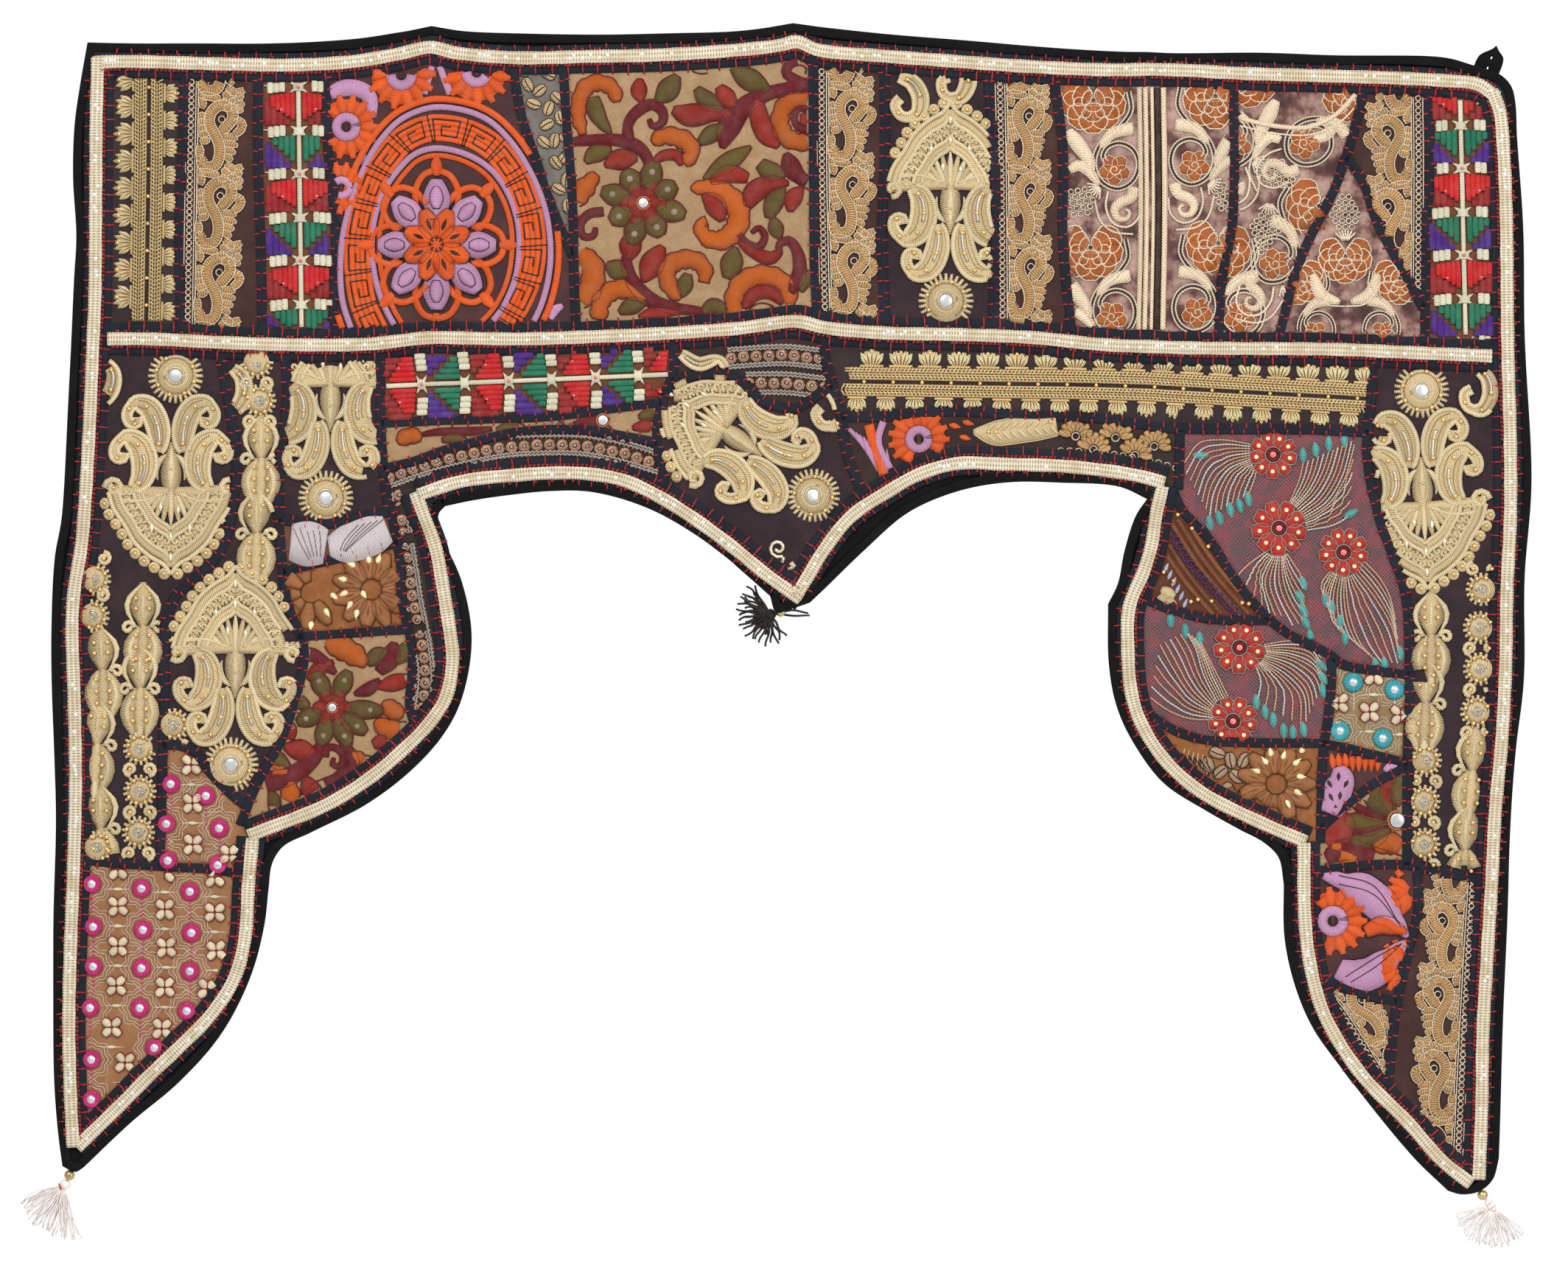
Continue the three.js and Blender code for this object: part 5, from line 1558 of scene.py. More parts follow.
petals_out = [(28, 22, 29.5, 32), (33, 22, 35.5, 32), (38, 22.5, 41.5, 30.5), (43, 23, 47.5, 28.5),
              (11, 10, 12.5, 5), (16, 10.5, 17.5, 5), (21, 11, 22.5, 5), (26, 12, 27.5, 5.5),
              (31, 13, 32.5, 6.5), (-1, 26, 1, 34), (3, 29, 8, 35)]


def lace_piece(fills, edges, path, wide):
    """A flat cord of gold threads, with a pale cord along both its edges."""
    swell = wide * np.minimum(1, 0.55 + np.minimum(np.arange(len(path)),
                                                   np.arange(len(path))[::-1]) / 4)
    fills.lay(path, swell, 1.5, thread_lift, lace_gold, soft_section)
    for side in (-1, 1):
        edges.lay(path + beside(path) * (side * swell / 2)[:, None], 1.15, 2.1, thread_lift,
                  lace_pale, fine_section)


def gold_scroll(fills, edges, at, start, side, step, reach):
    """One repeat of the border: an S of cord, a hook, two rows of petals and a rosette."""
    def there(places):
        return at([(start + s * step / lace_repeat, side * t * reach) for s, t in places])

    for wide, places in scroll_cords:
        lace_piece(fills, edges, smooth(there(places), 1.8), wide * (0.9 if step < 46 else 1.0))
    for near_s, near_t, far_s, far_t in petals_out:
        foot, tip = there([(near_s, near_t), (far_s, far_t)])
        fills.oval(foot, tip, 5.0, lace_gold, lace_pale, 1.4, rims=edges, rim_width=1.0)
    for s, t, size in ((14.5, 21, 3.6), (61.5, 28, 3.4)):
        heart = there([(s, t)])[0]
        edges.ring(heart, size * 0.62, 1.1, lace_pale, 2.2, sides=9)
    rose = there([(61.5, 28)])[0]
    for k in range(7):
        way = toward(20 + k * 360 / 7)
        fills.oval(rose + way * 2.6, rose + way * 8.4, 5.2, lace_gold, lace_pale, 1.5, rims=edges,
                   rim_width=1.0)


for name, (points, side, step, reach) in lace_runs.items():
    patch(name, chocolate)
    fills, edges = Stitching(name), Stitching(name)
    at = track(points)
    for k in np.arange(2, at.length, 4.2):
        edges.ring(at([(k, 0)])[0], 1.75, 1.25, lace_pale, 1.6, sides=9)
    for out, wide in ((-3.2, 1.1), (3.2, 1.1), (4.8, 1.3)):
        edges.lay(at.row(side * out, 2.5), wide, 1.4, thread_lift, lace_pale, fine_section)
    for start in np.arange(-0.55 * step, at.length, step):
        gold_scroll(fills, edges, at, start, side, step, reach)
    fills.sew("gold_" + name, lace_thread, "metal_cord")
    edges.sew("outline_" + name, cotton_yarn, "metal_cord")


# Mirror-work patches. Round mirrors are held in rings of bright floss on tan cloth, inside
# wavy lines of white running stitch, with four-petalled white flowers between them.
hot_pink = colour("#e22c86")
turquoise = colour("#35b3c2")
white_thread = colour("#f6eee2")
flower_cream = colour("#ecdfba")
tan = plain_weave("tan", colour("#9c6c45"), colour("#b08057"), 1.0, cloud=14.0)
drab = plain_weave("drab", colour("#94794f"), colour("#a58b60"), 1.0, cloud=14.0)
mirror_patches = {
    # patch: cloth, ring colour, ring size, mirrors, flowers
    "mirrors_lower": (tan, hot_pink, 6.2,
        [(62, 600), (96, 603), (129, 605), (63, 629), (97, 631), (130, 633), (63, 656), (96, 657),
         (129, 659), (61, 684), (95, 684), (127, 686), (62, 719), (105, 711), (62, 746)],
        [(80, 590), (112, 592), (146, 595), (80, 615), (112, 617), (146, 619), (80, 642),
         (113, 643), (147, 645), (79, 669), (112, 670), (141, 671), (76, 697), (110, 698),
         (85, 721)]),
    "mirrors_upper": (tan, hot_pink, 6.2,
        [(113, 559), (149, 562), (116, 532), (140, 540), (114, 584), (148, 587)],
        [(130, 519), (131, 545), (131, 573), (156, 580)]),
    "mirrors_right": (drab, turquoise, 6.6,
        [(918, 463), (946, 468), (909, 496), (938, 501)],
        [(929, 483), (908, 477), (950, 485), (932, 458)])}
wavy_rings = ((8.4, 0.06), (10.8, 0.1), (13.2, 0.12))
for name, (cloth, ring_dye, wide, mirrors, flower_places) in mirror_patches.items():
    patch(name, cloth)
    work, shine = Stitching(name), Stitching(name)
    for place in mirrors:
        place = np.array(place, float)
        turn = np.arange(33) * math.pi / 16
        for radius, wave in wavy_rings:
            reach = radius * (1 + wave * np.cos(8 * turn))
            ring = place + np.column_stack([np.cos(turn), np.sin(turn)]) * reach[:, None]
            work.lay(ring, 0.6, 0.6, thread_lift, white_thread, fine_section)
        work.pad(place, wide, ring_dye, 1.5, sides=16, rings=(1, 0.9, 0.55), rises=(0, 0.8, 0.95))
        work.bloom(place, 3.4, wide + 0.5, 1.4, ring_dye, 18, height=2.3, steps=3, tip=0.6,
                   outline=fine_section)
        shine.pad(place, 2.9, mirror_grey, 0.5, 4.0, 14, rings=(1, 0.95), rises=(0, 0.8))
        work.line([place + (0, wide), place + (0.5, 14), place + (0, 26 - wide)], 0.7,
                  hot_pink if ring_dye is hot_pink else white_thread, 0.6)
    for place in flower_places:
        place = np.array(place, float)
        for k in range(4):
            way = toward(45 + 90 * k + chance.uniform(-6, 6))
            work.shape([place + way * 0.8, place + way * 7.8], [1.8, 6.0, 4.2], flower_cream,
                       dark_red, 1.5, rim_width=1.0)
        work.pad(place, 1.2, dark_red, 2.4, sides=8)
        work.leaf(place + (-3.8, 13.5), place + (3.8, 13.5), 2.6, flower_cream, height=1.4)
        work.leaf(place + (-9, 13.5), place + (9, 13.5), 0.8, white_thread, height=0.7)
    work.sew("stitches_" + name, satin_floss, "silk_floss")
    shine.sew("glass_" + name, bright_silver, "mirror_glass")


# Net patches. Wine-coloured net over red cloth: flowers of red petals rimmed in silver with a
# sequin on each, and sprays of tiny bronze and silver beads that end in turquoise buds.
net_red = colour("#c1281a")
bronze = colour("#a3703a")
seed_silver = colour("#a9a39a")
bud_blue = colour("#4bb4ae")
clear_gold = colour("#e6d89a")


def net_cloth(name, thread_dye, under, other, pitch=1.7):
    """Open net: a lattice of fine thread over cloth that shows through."""
    material, shade, surface = finish(name, 0.85)
    x, z = across_and_down(shade)
    bend = speckle(shade, 11.0, 2.0)
    lattice = ((x + z) * (0.7 / pitch) + bend * 2.5).wave()
    other_way = ((x - z) * (0.7 / pitch) + bend * 2.5).wave()
    mesh = shade.math("MAXIMUM", lattice, other_way).between(0.72, 0.98)
    below = speckle(shade, 13.0, 3.0).between(0.42, 0.6).mix(under, other)
    shade.feed(surface.inputs["Base Color"], (mesh * 0.75).mix(below, thread_dye))
    raise_surface(shade, surface, mesh, 0.2)
    return material


wine_net = net_cloth("wine_net", colour("#776669"), colour("#4f2a30"), colour("#7a2630"))
net_flowers = {
    "net_upper": [(864, 308.5, 16.0), (868, 358.5, 18.5), (911.5, 375, 16.5)],
    "net_lower": [(841, 439.5, 17.5), (836.5, 489.5, 16.5)]}
sprays = {
    # patch: the guiding curves of each spray, and how many strings of beads
    "net_upper": [
        (15, [[(172, 58), (120, 50), (78, 56), (46, 100)],
              [(172, 85), (130, 105), (105, 145), (97, 190)],
              [(182, 108), (178, 125), (172, 140), (168, 150)]]),
        (17, [[(243, 165), (252, 145), (262, 120), (268, 92)],
              [(255, 175), (285, 145), (305, 110), (318, 70)],
              [(268, 195), (315, 165), (345, 115), (362, 50)],
              [(275, 215), (320, 207), (342, 196), (352, 187)]]),
        (15, [[(200, 255), (178, 270), (160, 285), (145, 302)],
              [(215, 262), (195, 310), (205, 350), (222, 395)],
              [(228, 262), (235, 310), (250, 350), (275, 385)],
              [(238, 258), (252, 280), (262, 295), (266, 306)]]),
        (19, [[(318, 290), (300, 315), (305, 335), (308, 345)],
              [(330, 295), (318, 340), (325, 390), (345, 405)],
              [(345, 300), (350, 360), (370, 420), (400, 455)],
              [(360, 295), (395, 340), (430, 400), (445, 460)],
              [(378, 272), (405, 300), (425, 335), (436, 380)]])],
    "net_lower": [
        (17, [[(195, 425), (240, 418), (275, 420), (300, 450)],
              [(200, 440), (250, 450), (290, 475), (303, 500)],
              [(190, 455), (230, 480), (265, 520), (268, 575)],
              [(180, 462), (190, 490), (188, 510), (182, 530)]]),
        (16, [[(105, 562), (60, 560), (20, 545), (-15, 520)],
              [(100, 545), (60, 515), (30, 470), (5, 425)],
              [(110, 530), (85, 480), (70, 430), (52, 400)],
              [(130, 520), (105, 470), (90, 440), (80, 420)]])]}
buds = {
    "net_upper": [(46, 105, 60), (80, 78, 0), (168, 158, 80), (152, 170, 75), (135, 178, 80),
                  (115, 193, 75), (97, 202, 80), (268, 78, 85), (291, 68, 85), (315, 57, 85),
                  (343, 50, 85), (355, 185, -30), (268, 312, 70), (262, 338, 60), (268, 362, 60),
                  (272, 384, 60), (281, 410, 80), (308, 343, 80), (320, 357, 80), (335, 383, 85),
                  (344, 412, 85), (400, 462, 80), (416, 460, 80), (445, 440, 85)],
    "net_lower": [(25, 380, 85), (52, 400, 85), (78, 415, 85), (300, 462, 45), (303, 485, 60),
                  (303, 508, 80), (182, 530, 85), (198, 548, 80), (213, 562, 85), (232, 582, 85),
                  (249, 586, 85), (268, 580, 80)]}
net_origin, net_size = (785, 280), 0.3708
guide_places = 12


def on_net(across, down):
    return np.array(net_origin) + np.array([across, down]) * net_size


def guide(points):
    """A curve of as many places as every other guide, to blend between."""
    path = smooth(points, 12)
    return path[np.linspace(0, len(path) - 1, guide_places).astype(int)]


for name, places in net_flowers.items():
    patch(name, wine_net)
    work, seeds_of_glass, shine = Stitching(name), Stitching(name), Stitching(name)
    for count, guides in sprays[name]:
        guides = np.array([guide(points) for points in guides])
        for k in range(count):
            share = k / (count - 1) * (len(guides) - 1)
            low = min(int(share), len(guides) - 2)
            curve = guides[low] + (guides[low + 1] - guides[low]) * (share - low)
            dye = seed_silver if k % 3 == 1 else bronze
            seeds_of_glass.at(net_origin, 0, net_size)
            string = smooth(curve, 1.1 / net_size)
            swell = np.where(np.arange(len(string)) % 2, 2.3, 1.3) / net_size
            seeds_of_glass.lay(string, swell, 1.7, 2.5, dye, fine_section)
    for across, down, lean in buds[name]:
        work.at(on_net(across, down), lean)
        work.leaf((-5.2, 0), (5.2, 0), 4.6, bud_blue, height=2.1, tip=0.25)
        work.shape([(-5.2, 0), (5.2, 0)], [1.2, 4.8, 1.2], bud_blue, seed_silver, 1.0,
                   rim_width=0.8)
    work.at()
    for across, down, reach in places:
        centre = np.array([across, down])
        for k in range(9):
            way = toward(k * 40 + 12)
            work.shape([centre + way * 5.5, centre + way * reach], [3.5, reach * 0.56, reach * 0.4],
                       net_red, seed_silver, 1.6, rim_width=1.3)
            shine.pad(centre + way * reach * 0.72, 1.6, clear_gold, 0.5, 4.3, 9, rings=(1, 0.6),
                      rises=(0, 0.4))
        work.ring(centre, 5.4, 1.6, seed_silver, 2.6, sides=14)
        work.ring(centre, 3.6, 1.4, net_red, 2.6, sides=12)
        shine.pad(centre, 2.4, red, 1.6, 4.0, 10)
    work.sew("floss_" + name, satin_floss, "silk_floss")
    seeds_of_glass.sew("seeds_" + name, bead_gloss, "gilt_bead")
    shine.sew("sequins_" + name, bead_gloss, "sequin")


# Sequin bands. A row of cupped copper sequins is sewn down through the middle of each band,
# between zigzag cords of tarnished silver.
copper_sequin = colour("#b8764c")
pit_brown = colour("#4c2c1e")
peach_cord = colour("#d3a57e")
tin = colour("#b7aea5")
sequin_cloth = plain_weave("sequin_cloth", colour("#30221f"), colour("#47332d"), 1.0)
sequin_step = 8.6
zigzag_step = 2.9
sequin_rows = {
    # patch: the line of sequins, where the cords run beside it
    "sequins_arch": [([(262, 325), (285, 317), (311, 310), (340, 304), (368, 302), (396, 302.5),
                       (424, 308), (450, 316)], (-7.2, 5.4))],
    "sequins_left": [([(271, 334), (273, 360), (277, 385), (281, 410), (287, 440), (289, 462),
                       (285, 492)], (5.6, -5.2))],
    "sequins_centre": [([(494, 243), (530, 241), (562, 244)], (-5.6, 6.0)),
                       ([(506, 260), (530, 260), (562, 263)], (-6.0, 6.5))]}
for name, rows in sequin_rows.items():
    patch(name, sequin_cloth)
    work, cups = Stitching(name), Stitching(name)
    for points, cord_sides in rows:
        at = track(points)
        for k in np.arange(2, at.length, sequin_step):
            place = at([(k, chance.uniform(-0.4, 0.4))])[0]
            work.ring(place, 3.3, 2.0, peach_cord, 1.4, sides=9)
            cups.ring(place, 2.3, 1.6, copper_sequin, 2.0, lift=3.0)
            cups.pad(place, 2.0, pit_brown, 0.4, 3.1, 10)
            cups.pad(place, 0.8, tin, 1.2, 3.3, 6)
        for k in np.arange(1, at.length, zigzag_step):
            for side in (-1, 1):
                work.leaf(*at([(k, side * 4.2), (k + chance.uniform(-1, 2), side * 7.6)]), 1.5,
                          peach_cord, height=1.2, steps=4)
        for out in cord_sides:
            for shift in (-1.0, 1.0):
                steps = np.arange(0, at.length, 1.5)
                wave = out + shift + 0.5 * np.where(np.arange(len(steps)) % 2, 1, -1)
                work.lay(at(np.column_stack([steps, wave])), 1.5, 1.9, thread_lift, tin)
    work.sew("cords_" + name, gold_thread, "metal_cord")
    cups.sew("copper_" + name, bright_silver, "sequin")
tail, tail_shine, tail_beads = (Stitching("sequins_centre") for _ in range(3))
paisley(tail, tail_shine, tail_beads, [(462, 240), (474, 247), (488, 244), (492, 250),
                                       (488, 253)], 8.0, 4.0)
tail.sew("tail_sequins_centre", twisted_cord, "metal_cord")
tail_shine.sew("tail_silver_sequins_centre", bright_silver, "mirror_glass")


# Small scraps. Each is a corner of some other embroidery: quilted satin leaves, copper cloth with
# teardrop sequins, a band of flowers, orange and pink floss, net with cream leaves and tape.
satin_white = colour("#e2d6d8")
copper_cloth = colour("#a5693b")
leaf_cream = colour("#cdb083")
ink = colour("#17110f")
copper_edge = colour("#5d3519")
right_drawing = (770, 490), 0, 0.4195
smoke_net = net_cloth("smoke_net", colour("#85807a"), colour("#6a625c"), colour("#565049"), 1.2)
warm_brown = plain_weave("warm_brown", colour("#6e4930"), colour("#7f5a40"), 1.1)
suede = plain_weave("suede", colour("#94592d"), colour("#a96f40"), 1.6, depth=0.3, cloud=9.0)


def cream_leaf(work, centre, lean, size, dye=leaf_cream):
    """A pair of lobes of cream cloth, outlined and split in black."""
    work.at(centre, lean, size)
    work.shape([(-6, 0), (6, 0)], [4, 8.4, 8.4, 3], dye, ink, 0.9, rim_width=0.8)
    work.line([(-5, 0), (0, 0.6), (5.5, 0)], 0.8 / size, ink, 0.5, lift=3.3)


patch("net_wedge", smoke_net)
work = Stitching("net_wedge")
for across, down, lean in ((358, 57, 60), (366, 61, 140), (362, 70, 20), (372, 73, 110),
                           (378, 66, 40), (371, 84, 150), (380, 80, 70), (376, 95, 100),
                           (369, 96, 40), (383, 106, 130), (377, 110, 50), (384, 122, 95),
                           (379, 128, 30), (385, 140, 80), (355, 48, 10), (384, 92, 160),
                           (386, 56, 90), (372, 50, 30)):
    cream_leaf(work, (across, down), lean, 0.82)
work.sew("leaves_net_wedge", cotton_yarn, "silk_floss")

patch("satin", warm_brown)
work = Stitching("satin")
rib_grey = colour("#8f8088")
work.shape([(197, 368), (208, 369), (221, 371)], [26, 33, 25], satin_white, rib_grey, 1.7,
           rim_width=0.5)
work.shape([(223, 371), (236, 369), (248, 365), (263, 359)], [14, 28, 29, 20], satin_white,
           rib_grey, 1.7, rim_width=0.5)
for k in range(5):
    for rib in ([(199 + 4.4 * k, 358), (204 + 3.4 * k, 369), (211 + 1.6 * k, 382)],
                [(229 + 1.4 * k, 382 - 2 * k), (233 + 3.2 * k, 368 - k),
                 (243 + 4.4 * k, 356 - k)]):
        work.line(rib, 0.6, rib_grey, 0.5, lift=4.1)
for across in (224, 230, 236, 265):
    work.leaf((across, 358), (across + 3, 379), 3.2, colour("#84593a"), height=0.9)
work.sew("leaves_satin", satin_floss, "silk_floss")

drops = {
    "copper_left": [(238, 383, 200), (232, 393, 190), (233, 403, 150), (237, 411, 120),
                    (242, 417, 100), (250, 379, 260), (257, 379, 290), (211, 425, 100),
                    (227, 405, 40), (222, 416, 60), (247, 404, 60)],
    "copper_right": [(862, 510, 260), (871, 512, 285), (880, 517, 320), (883, 527, 0),
                     (881, 538, 30), (874, 546, 60), (858, 516, 230), (852, 523, 200),
                     (884, 508, 300)]}
for name, centre in (("copper_left", (252, 400)), ("copper_right", (866, 532))):
    patch(name, suede)
    work, shine = Stitching(name), Stitching(name)
    for k in range(11):
        way = toward(k * 360 / 11)
        work.oval(centre + way * 7, centre + way * 27, 11.5, copper_cloth, copper_edge, 1.3,
                  rim_width=0.9)
        work.leaf(centre + way * 10, centre + way * 22, 1.6, colour("#86502a"), height=1.9)
    work.ring(centre, 7.5, 1.2, copper_edge, 1.7, sides=16)
    for across, down, lean in drops[name]:
        shine.at((across, down), lean)
        shine.leaf((-3.6, 0), (3.6, 0), 4.2, clear_gold, height=1.5, lift=2.9, belly=0.6)
    if name == "copper_left":
        for k in range(6):
            way = toward(60 + k * 38)
            heart = np.array((211, 402))
            work.oval(heart + way * 7, heart + way * 25, 10.5, copper_cloth, copper_edge, 1.3,
                      rim_width=0.9)
    else:
        for across, down, lean in ((826, 511, 20), (835, 516, 80), (828, 524, 140), (839, 527, 40),
                                   (844, 516, 120), (834, 536, 60), (844, 540, 150),
                                   (850, 548, 30), (820, 519, 70)):
            cream_leaf(work, (across, down), lean, 0.9, colour("#b99a7b"))
        work.at()
        for k in range(9):
            work.line([(786 + k * 4, 505 + k * 1.5), (792 + k * 4, 514 + k * 1.5),
                       (788 + k * 4, 524 + k * 1.5)], 1.3, ink, 1.0)
            work.line([(795 + k * 3, 505 + k), (787 + k * 4, 516 + k * 2)], 1.1, leaf_cream, 0.9)
    work.sew("threads_" + name, satin_floss, "silk_floss")
    shine.sew("drops_" + name, bead_gloss, "sequin")

patch("suzani_right", medallion_ground)
work = Stitching("suzani_right")
for k in range(8):
    work.leaf((903 + k * 4.6, 511), (905 + k * 4.2, 524), 5.0, suzani_orange, height=1.6)
work.shape([(900, 556), (906, 540), (910, 528), (908, 520)], [12, 22, 20, 8], suzani_pink,
           brown_thread, 1.2)
for across, down, lean in ((902, 532, 60), (908, 527, 90), (913, 532, 120), (903, 541, 60),
                           (909, 540, 95), (914, 544, 130), (906, 549, 90)):
    work.at((across, down), lean)
    work.leaf((-3, 0), (3, 0), 2.6, brown_thread, height=1.0, lift=3.3)
work.at()
work.shape([(938, 528), (944, 520), (952, 522)], [3, 7, 3], suzani_pink, None)
work.sew("floss_suzani_right", satin_floss, "silk_floss")

patch("suzani_leg", medallion_ground)
work = Stitching("suzani_leg").at(*right_drawing)
wheel_flower(work, (320, 322), 56, 8, petals=15)
work.at()
for spine, widths in (([(898, 594), (908, 597), (920, 602), (932, 610), (944, 622), (955, 636)],
                       [6, 12, 26, 25, 13, 3]),
                      ([(908, 657), (919, 662), (931, 660), (943, 650), (955, 638)],
                       [14, 24, 23, 13, 3])):
    work.shape(spine, widths, suzani_pink, brown_thread, 1.2, rim_width=0.7)
work.at(*right_drawing)
work.shape([(372, 340), (400, 328), (440, 340)], [20, 30, 8], suzani_orange, brown_thread, 1.3)
for centre in ((450, 275), (432, 395)):
    work.bloom(centre, 8, 44, 20, suzani_orange, 9, 120, 180, height=1.5, tip=0.5,
               outline=soft_section)
for shift in (-8, 6):
    for vein in ([(330, 256 + shift), (385, 272 + shift), (430, 330)],
                 [(340, 420 + shift), (395, 385 + shift), (432, 358)]):
        work.line(vein, 1.6, brown_thread, 0.6, lift=3.5)
work.sew("floss_suzani_leg", satin_floss, "silk_floss")

patch("scrolls", sequin_cloth)
work, beads = Stitching("scrolls"), Stitching("scrolls")
for k in range(12):
    work.leaf((573 + k * 2.6, 289 + k * 1.4), (582 + k * 2.2, 296 + k * 4.0), 3.4, suzani_pink,
              height=1.4)
work.line([(589, 286), (594, 305), (600, 322)], 7, suzani_orange, 1.4, outline=soft_section)
work.line([(600, 284), (596, 300), (604, 318)], 5, suzani_pink, 1.4, outline=soft_section)
wheel_flower(work, (623.5, 298), 21, 3.5, petals=15)
for across, down in ((648, 288), (655, 296), (650, 303), (657, 286)):
    work.leaf((across - 4, down), (across + 4, down + 2), 4.4, suzani_orange, height=1.4)
work.shape([(661, 293), (675, 294), (695, 291), (717, 288)], [3, 17, 18, 15], cream_cord, pale_cord,
           1.2, rim_width=1.4)
for k in range(9):
    for side in (-1, 1):
        work.leaf((669 + k * 5.4, 293.5 - k * 0.6), (676 + k * 5.4, 293 - k * 0.6 + side * 7),
                  2.2, pale_cord, height=2.2, lift=2.8)
for across in (671, 676):
    beads.pad((across, 293), 1.5, gilt, 2.2, 3.6, 8)
beads.pad((713, 286), 1.5, gilt, 2.2, 3.6, 8)
for across, down, lean in ((730, 296, 0), (757, 297, 8), (783, 303, 20), (742, 305, 10),
                           (770, 309, 20)):
    work.at((across, down), lean)
    for k in range(7):
        way = toward(195 + k * 25)
        work.shape([way * 3, way * 12], [2, 5.6, 3], lace_gold, ink, 1.3, rim_width=0.7)
    work.ring((0, 0), 2.6, 1.4, lace_pale, 1.8, sides=10)
work.at()
for across in range(720, 800, 6):
    down = 306 + (across - 720) ** 2 / 520
    work.ring((across, down), 2.2, 1.1, lace_pale, 1.4, sides=9)
work.sew("floss_scrolls", satin_floss, "metal_cord")
beads.sew("beads_scrolls", gilt_gloss, "gilt_bead")

patch("rust", plain_weave("rust_cloth", colour("#5a2f1a"), colour("#7b4222"), 0.9, depth=0.3))
work, beads = (Stitching("rust").at(net_origin, 0, net_size) for _ in range(2))
for shift, dye in ((0, colour("#8d5228")), (12, colour("#7e4421")), (24, colour("#96592c")),
                   (-22, colour("#744021")), (-34, colour("#8d5228")), (36, colour("#6b3a1d"))):
    work.line([(25 + shift, 200 - shift * 0.5), (80 + shift, 285 - shift * 0.5),
               (165 + shift, 385 - shift * 0.5)], 8, dye, 1.0, outline=soft_section)
chain = smooth([(28, 222), (60, 275), (100, 320), (150, 372)], 13)
for place in chain:
    work.ring(place, 6.5, 5, colour("#5b2f6e"), 1.9, sides=10)
for across, down in ((38, 187), (64, 212), (94, 245), (122, 280), (148, 318), (168, 350),
                     (12, 292), (30, 308), (62, 346), (100, 345), (75, 342), (156, 348)):
    beads.pad((across, down), 4.4, gilt, 2.2, 3.4, 8)
for across, down, lean in ((20, 330, 30), (8, 345, 120), (26, 352, 70)):
    work.at(on_net(across, down), lean)
    work.shape([(-5, 0), (5, 0)], [3, 7, 3], cream_cord, pale_cord, 1.4)
work.at(net_origin, 0, net_size)
for k in range(7):
    work.leaf((6 + k * 7, 280 + k * 13), (14 + k * 7, 262 + k * 13), 8, colour("#b8c2d8"),
              height=1.2)
work.sew("braids_rust", gold_thread, "metal_cord")
beads.sew("beads_rust", gilt_gloss, "gilt_bead")


# Black edge. The ground cloth's rim is turned forward and sewn down all round, so it stands a
# little proud as a soft, uneven roll outside the slate band.
edge_width = 6.2
edge_height = 2.6
edge_low = 1.9
short_run = 45
work = Work()
for run in outline_runs:
    line = smooth(run, 4.0)
    if np.hypot(*(line[-1] - line[0])) < short_run:
        line = smooth(run, 2.0)
    waver = 0.35 * np.sin(line[:, 0] / 17) + 0.35 * np.sin(line[:, 1] / 23)
    inner = offset(line, edge_width / 2 - 0.2)
    work.sweep(inner, edge_width + waver, edge_height + 0.3 * waver, edge_low, undyed,
               flat_section)
edge = work.piece("edge", black_cotton, "black_cloth")
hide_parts("edge_binding")


# Slate bands. A strip of slate cotton 20 mm wide is laid round the border and across the
# middle, under the braid, and shows as a margin on both sides of it.
band_outer = 8.6
band_inner = 11.4
strip_low = 2.65
strip_height = 1.0
join_width = 6.4
join_height = 0.9
slate_cotton = plain_weave("slate_cotton", colour("#20232c"), colour("#2b2f3a"), 1.3, sheen=0.0)


def length_of(line):
    return float(np.hypot(*np.diff(line, axis=0).T).sum()) / 1000


def strip(name, line, width, nodes, low=strip_low, height=strip_height):
    """A narrow strip of cloth sewn flat along a line, its edges a little uneven."""
    sewn = Work()
    uneven = 1 + 0.03 * np.sin(line.sum(axis=1) / 5.0) + 0.02 * np.sin(line[:, 1] / 2.3)
    sewn.sweep(line, width * uneven, height, low, undyed, flat_section)
    made = sewn.piece(name, slate_cotton, "slate_cloth")
    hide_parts(*nodes)
    if width > 10:
        length_of(line)


work = Work()
band_length = 0.0
band_runs = [name for name in lines if name != "middle"]
for k, name in enumerate(band_runs):
    middle = offset(run_on(smooth(lines[name], 3.0), 4.0), (band_inner - band_outer) / 2)
    work.sweep(middle, band_outer + band_inner, strip_height, strip_low + 0.04 * (k % 3),
               undyed, flat_section)
    band_length += length_of(middle)
band = work.piece("band_round", slate_cotton, "slate_cloth")
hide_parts("band_border")
middle_line = smooth(lines["middle"], 3.0)
strip("band_across", middle_line[3:-3], 2 * band_inner, ["band_middle"], low=strip_low - 0.1)
for name, points in joins.items():
    strip(name.replace("join", "strip"), smooth(points, 2.5), join_width, [name],
          height=join_height)


